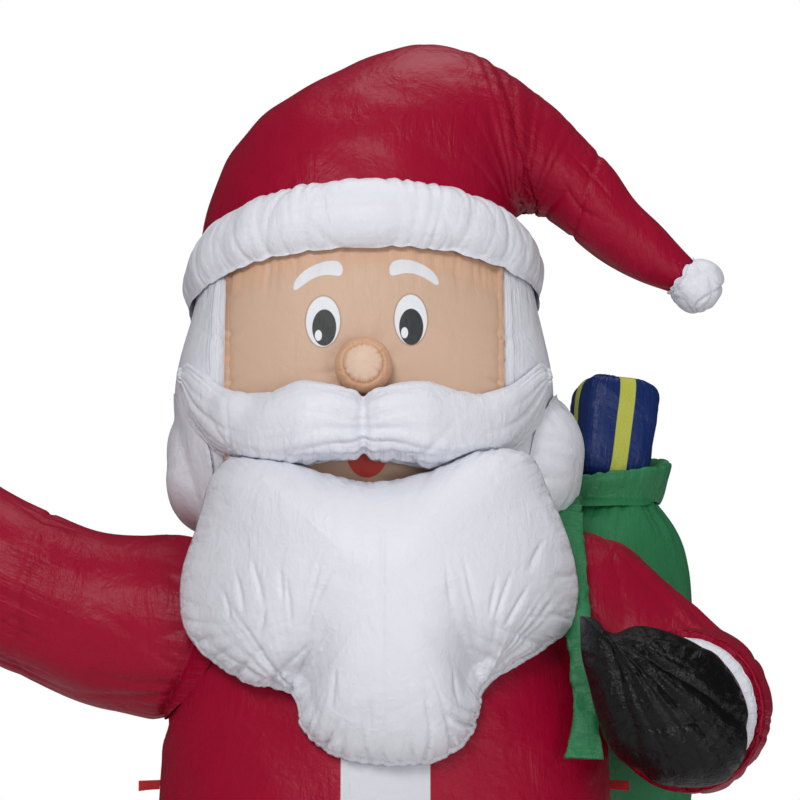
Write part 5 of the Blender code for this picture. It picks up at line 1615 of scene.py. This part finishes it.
def make_stage():
    """A pale floor, a white surround, three soft lights and the camera."""
    floor = bpy.data.meshes.new("floor")
    corners = [(x * FLOOR_HALF, y * FLOOR_HALF, 0) for x, y in ((-1, -1), (1, -1), (1, 1), (-1, 1))]
    floor.from_pydata(corners, [], [(0, 1, 2, 3)])
    wiring = Wiring("pale_floor")
    mottle = wiring.noise(wiring.place(), 1.5, 4.0, 0.6)
    pale = wiring.mix(mottle, (0.80, 0.80, 0.80, 1), (0.84, 0.84, 0.84, 1))
    wiring.paint(pale)
    wiring.shader.inputs["Roughness"].default_value = 0.7
    floor.materials.append(wiring.material)
    add_object("floor", floor)

    scene = bpy.context.scene
    world = bpy.data.worlds.new("white_surround")
    world.use_nodes = True
    tree = world.node_tree
    back = tree.nodes["Background"]
    seen = tree.nodes.new("ShaderNodeLightPath")
    mirrored = tree.nodes.new("ShaderNodeMapRange")
    mirrored.inputs["To Min"].default_value = settings().surround
    mirrored.inputs["To Max"].default_value = settings().surround * 0.12
    tree.links.new(seen.outputs["Is Glossy Ray"], mirrored.inputs["Value"])
    level = tree.nodes.new("ShaderNodeMapRange")
    level.inputs["To Max"].default_value = 1.0
    tree.links.new(mirrored.outputs[0], level.inputs["To Min"])
    tree.links.new(seen.outputs["Is Camera Ray"], level.inputs["Value"])
    tree.links.new(level.outputs[0], back.inputs["Strength"])
    back.inputs["Color"].default_value = (1, 1, 1, 1)
    scene.world = world

    area_light("key", (-1.6, -7.6, 6.0), (-0.1, 0, 2.5), 2.8, 262 * settings().light)
    area_light("fill", (3.6, -7.4, 1.7), (0, 0, 2.3), 2.8, 100 * settings().light)
    area_light("top", (0.4, 0.5, 7.0), (0, 0, 2.8), 3.0, 50 * settings().light)

    view = bpy.data.cameras.new("photo_camera")
    view.lens = CAMERA_LENS
    view.sensor_width = 36.0
    view.clip_end = 200.0
    camera = add_object("photo_camera", view)
    camera.location = CAMERA_PLACE
    tilt = math.atan2(CAMERA_AIM_HEIGHT - CAMERA_PLACE[2], -CAMERA_PLACE[1])
    camera.rotation_euler = (math.pi / 2 + tilt, 0, 0)
    scene.camera = camera
    scene.view_settings.view_transform = "Standard"
    scene.view_settings.look = "None"
    scene.view_settings.exposure = 0.0
    scene.view_settings.gamma = 1.0


def tone(name, text, colour):
    return bpy.props.FloatVectorProperty(
        name=name, description=text, default=colour, subtype="COLOR", size=3, min=0.0, max=1.0)


class SantaColours(bpy.types.PropertyGroup):
    """Colours of the cloths."""

    suit: tone("Suit", "Red nylon of the coat, hat and sleeves", (0.33, 0.0004, 0.024))
    fur: tone("White", "White nylon of the beard, hair and bands", (0.78, 0.79, 0.86))
    skin: tone("Skin", "Nylon of the face", (0.64, 0.435, 0.315))
    nose: tone("Nose", "Nylon of the nose", (0.76, 0.55, 0.42))
    leather: tone("Black", "Black nylon of mittens, boots and belt", (0.0040, 0.0040, 0.0043))
    sack: tone("Sack", "Green nylon of the sack", (0.025, 0.20, 0.075))
    present: tone("Present", "Blue nylon of the present", (0.006, 0.024, 0.13))
    ribbon: tone("Ribbon", "Yellow of the present's ribbon", (0.50, 0.52, 0.075))
    buckle: tone("Buckle", "Yellow nylon of the belt's buckle", (0.60, 0.42, 0.06))
    webbing: tone("Webbing", "Red tape of the tether tabs", (0.62, 0.008, 0.012))


class SantaSettings(bpy.types.PropertyGroup):
    """Depth of the folds and strength of the light."""

    fold_depth: bpy.props.FloatProperty(
        name="Fold depth", description="Depth of the folds at the seams, as a share of the real ones",
        default=1.0, min=0.0, max=2.0, subtype="FACTOR")
    light: bpy.props.FloatProperty(
        name="Light", description="Power of the three lights, as a share", default=1.0, min=0.0, max=5.0,
        subtype="FACTOR")
    surround: bpy.props.FloatProperty(
        name="Surround", description="Light from the white surround", default=0.40, min=0.0, max=2.0)


class SANTA_OT_stage(bpy.types.Operator):
    """Adds the floor, the surround, the lights and the camera"""

    bl_idname = "santa.stage"
    bl_label = "Stage"
    bl_options = {"REGISTER", "UNDO"}

    def execute(self, context):
        make_stage()
        return {"FINISHED"}


class SANTA_OT_base(bpy.types.Operator):
    """Makes the padded base that the figure stands on"""

    bl_idname = "santa.base"
    bl_label = "Base"
    bl_options = {"REGISTER", "UNDO"}

    def execute(self, context):
        make_base()
        return {"FINISHED"}


class SANTA_OT_coat(bpy.types.Operator):
    """Makes the coat and the two loops of tape at its sides"""

    bl_idname = "santa.coat"
    bl_label = "Coat and tabs"
    bl_options = {"REGISTER", "UNDO"}

    def execute(self, context):
        make_coat()
        make_tabs()
        return {"FINISHED"}


class SANTA_OT_legs(bpy.types.Operator):
    """Makes the boots, their cuffs and the trouser legs"""

    bl_idname = "santa.legs"
    bl_label = "Boots and legs"
    bl_options = {"REGISTER", "UNDO"}

    def execute(self, context):
        make_legs()
        return {"FINISHED"}


class SANTA_OT_hem(bpy.types.Operator):
    """Makes the white roll round the foot of the coat"""

    bl_idname = "santa.hem"
    bl_label = "Hem"
    bl_options = {"REGISTER", "UNDO"}

    def execute(self, context):
        make_hem()
        return {"FINISHED"}


class SANTA_OT_belt(bpy.types.Operator):
    """Makes the belt and its padded buckle"""

    bl_idname = "santa.belt"
    bl_label = "Belt and buckle"
    bl_options = {"REGISTER", "UNDO"}

    def execute(self, context):
        make_belt()
        return {"FINISHED"}


class SANTA_OT_head(bpy.types.Operator):
    """Makes the face panel and the rest of the head"""

    bl_idname = "santa.head"
    bl_label = "Face and hair"
    bl_options = {"REGISTER", "UNDO"}

    def execute(self, context):
        make_face()
        make_hair()
        return {"FINISHED"}


class SANTA_OT_hat(bpy.types.Operator):
    """Makes the hat, its white band and its bobble"""

    bl_idname = "santa.hat"
    bl_label = "Hat"
    bl_options = {"REGISTER", "UNDO"}

    def execute(self, context):
        make_hat()
        return {"FINISHED"}


class SANTA_OT_whiskers(bpy.types.Operator):
    """Makes the roll of hair from cheek to cheek round the nape"""

    bl_idname = "santa.whiskers"
    bl_label = "Whiskers"
    bl_options = {"REGISTER", "UNDO"}

    def execute(self, context):
        make_whiskers()
        return {"FINISHED"}


class SANTA_OT_arms(bpy.types.Operator):
    """Makes both sleeves with their cuffs and mittens"""

    bl_idname = "santa.arms"
    bl_label = "Arms"
    bl_options = {"REGISTER", "UNDO"}

    def execute(self, context):
        make_waving_arm()
        make_holding_arm()
        return {"FINISHED"}


class SANTA_OT_nose(bpy.types.Operator):
    """Makes the nose"""

    bl_idname = "santa.nose"
    bl_label = "Nose"
    bl_options = {"REGISTER", "UNDO"}

    def execute(self, context):
        make_nose()
        return {"FINISHED"}


class SANTA_OT_beard(bpy.types.Operator):
    """Makes the beard"""

    bl_idname = "santa.beard"
    bl_label = "Beard"
    bl_options = {"REGISTER", "UNDO"}

    def execute(self, context):
        make_beard()
        return {"FINISHED"}


class SANTA_OT_moustache(bpy.types.Operator):
    """Makes the moustache"""

    bl_idname = "santa.moustache"
    bl_label = "Moustache"
    bl_options = {"REGISTER", "UNDO"}

    def execute(self, context):
        make_moustache()
        return {"FINISHED"}


class SANTA_OT_sack(bpy.types.Operator):
    """Makes the sack, its collar, its strap and the present"""

    bl_idname = "santa.sack"
    bl_label = "Sack"
    bl_options = {"REGISTER", "UNDO"}

    def execute(self, context):
        make_sack()
        return {"FINISHED"}


OPERATORS = (
    SANTA_OT_stage,
    SANTA_OT_base,
    SANTA_OT_coat,
    SANTA_OT_legs,
    SANTA_OT_hem,
    SANTA_OT_belt,
    SANTA_OT_head,
    SANTA_OT_hat,
    SANTA_OT_whiskers,
    SANTA_OT_arms,
    SANTA_OT_nose,
    SANTA_OT_beard,
    SANTA_OT_moustache,
    SANTA_OT_sack,
)


class SANTA_PT_panel(bpy.types.Panel):
    """Fold depth, light, surround, colours and the pieces, in the 3D view's sidebar"""

    bl_label = "Inflatable Santa"
    bl_idname = "SANTA_PT_panel"
    bl_space_type = "VIEW_3D"
    bl_region_type = "UI"
    bl_category = "Santa"

    def draw(self, context):
        layout = self.layout
        for group in (context.scene.santa_settings, context.scene.santa_colours):
            for key in group.bl_rna.properties.keys():
                if key not in ("rna_type", "name"):
                    layout.prop(group, key)
        for made in OPERATORS:
            layout.operator(made.bl_idname)


CLASSES = (SantaColours, SantaSettings, *OPERATORS, SANTA_PT_panel)


def register():
    for made in CLASSES:
        bpy.utils.register_class(made)
    bpy.types.Scene.santa_colours = bpy.props.PointerProperty(type=SantaColours)
    bpy.types.Scene.santa_settings = bpy.props.PointerProperty(type=SantaSettings)


def unregister():
    del bpy.types.Scene.santa_settings
    del bpy.types.Scene.santa_colours
    for made in reversed(CLASSES):
        bpy.utils.unregister_class(made)


def main():
    register()
    make_head_form()
    for made in OPERATORS:
        group, name = made.bl_idname.split(".")
        getattr(getattr(bpy.ops, group), name)()
    for form in [made for made in bpy.data.objects if made.name.endswith("_form")]:
        bpy.data.objects.remove(form)


if __name__ == "__main__":
    main()
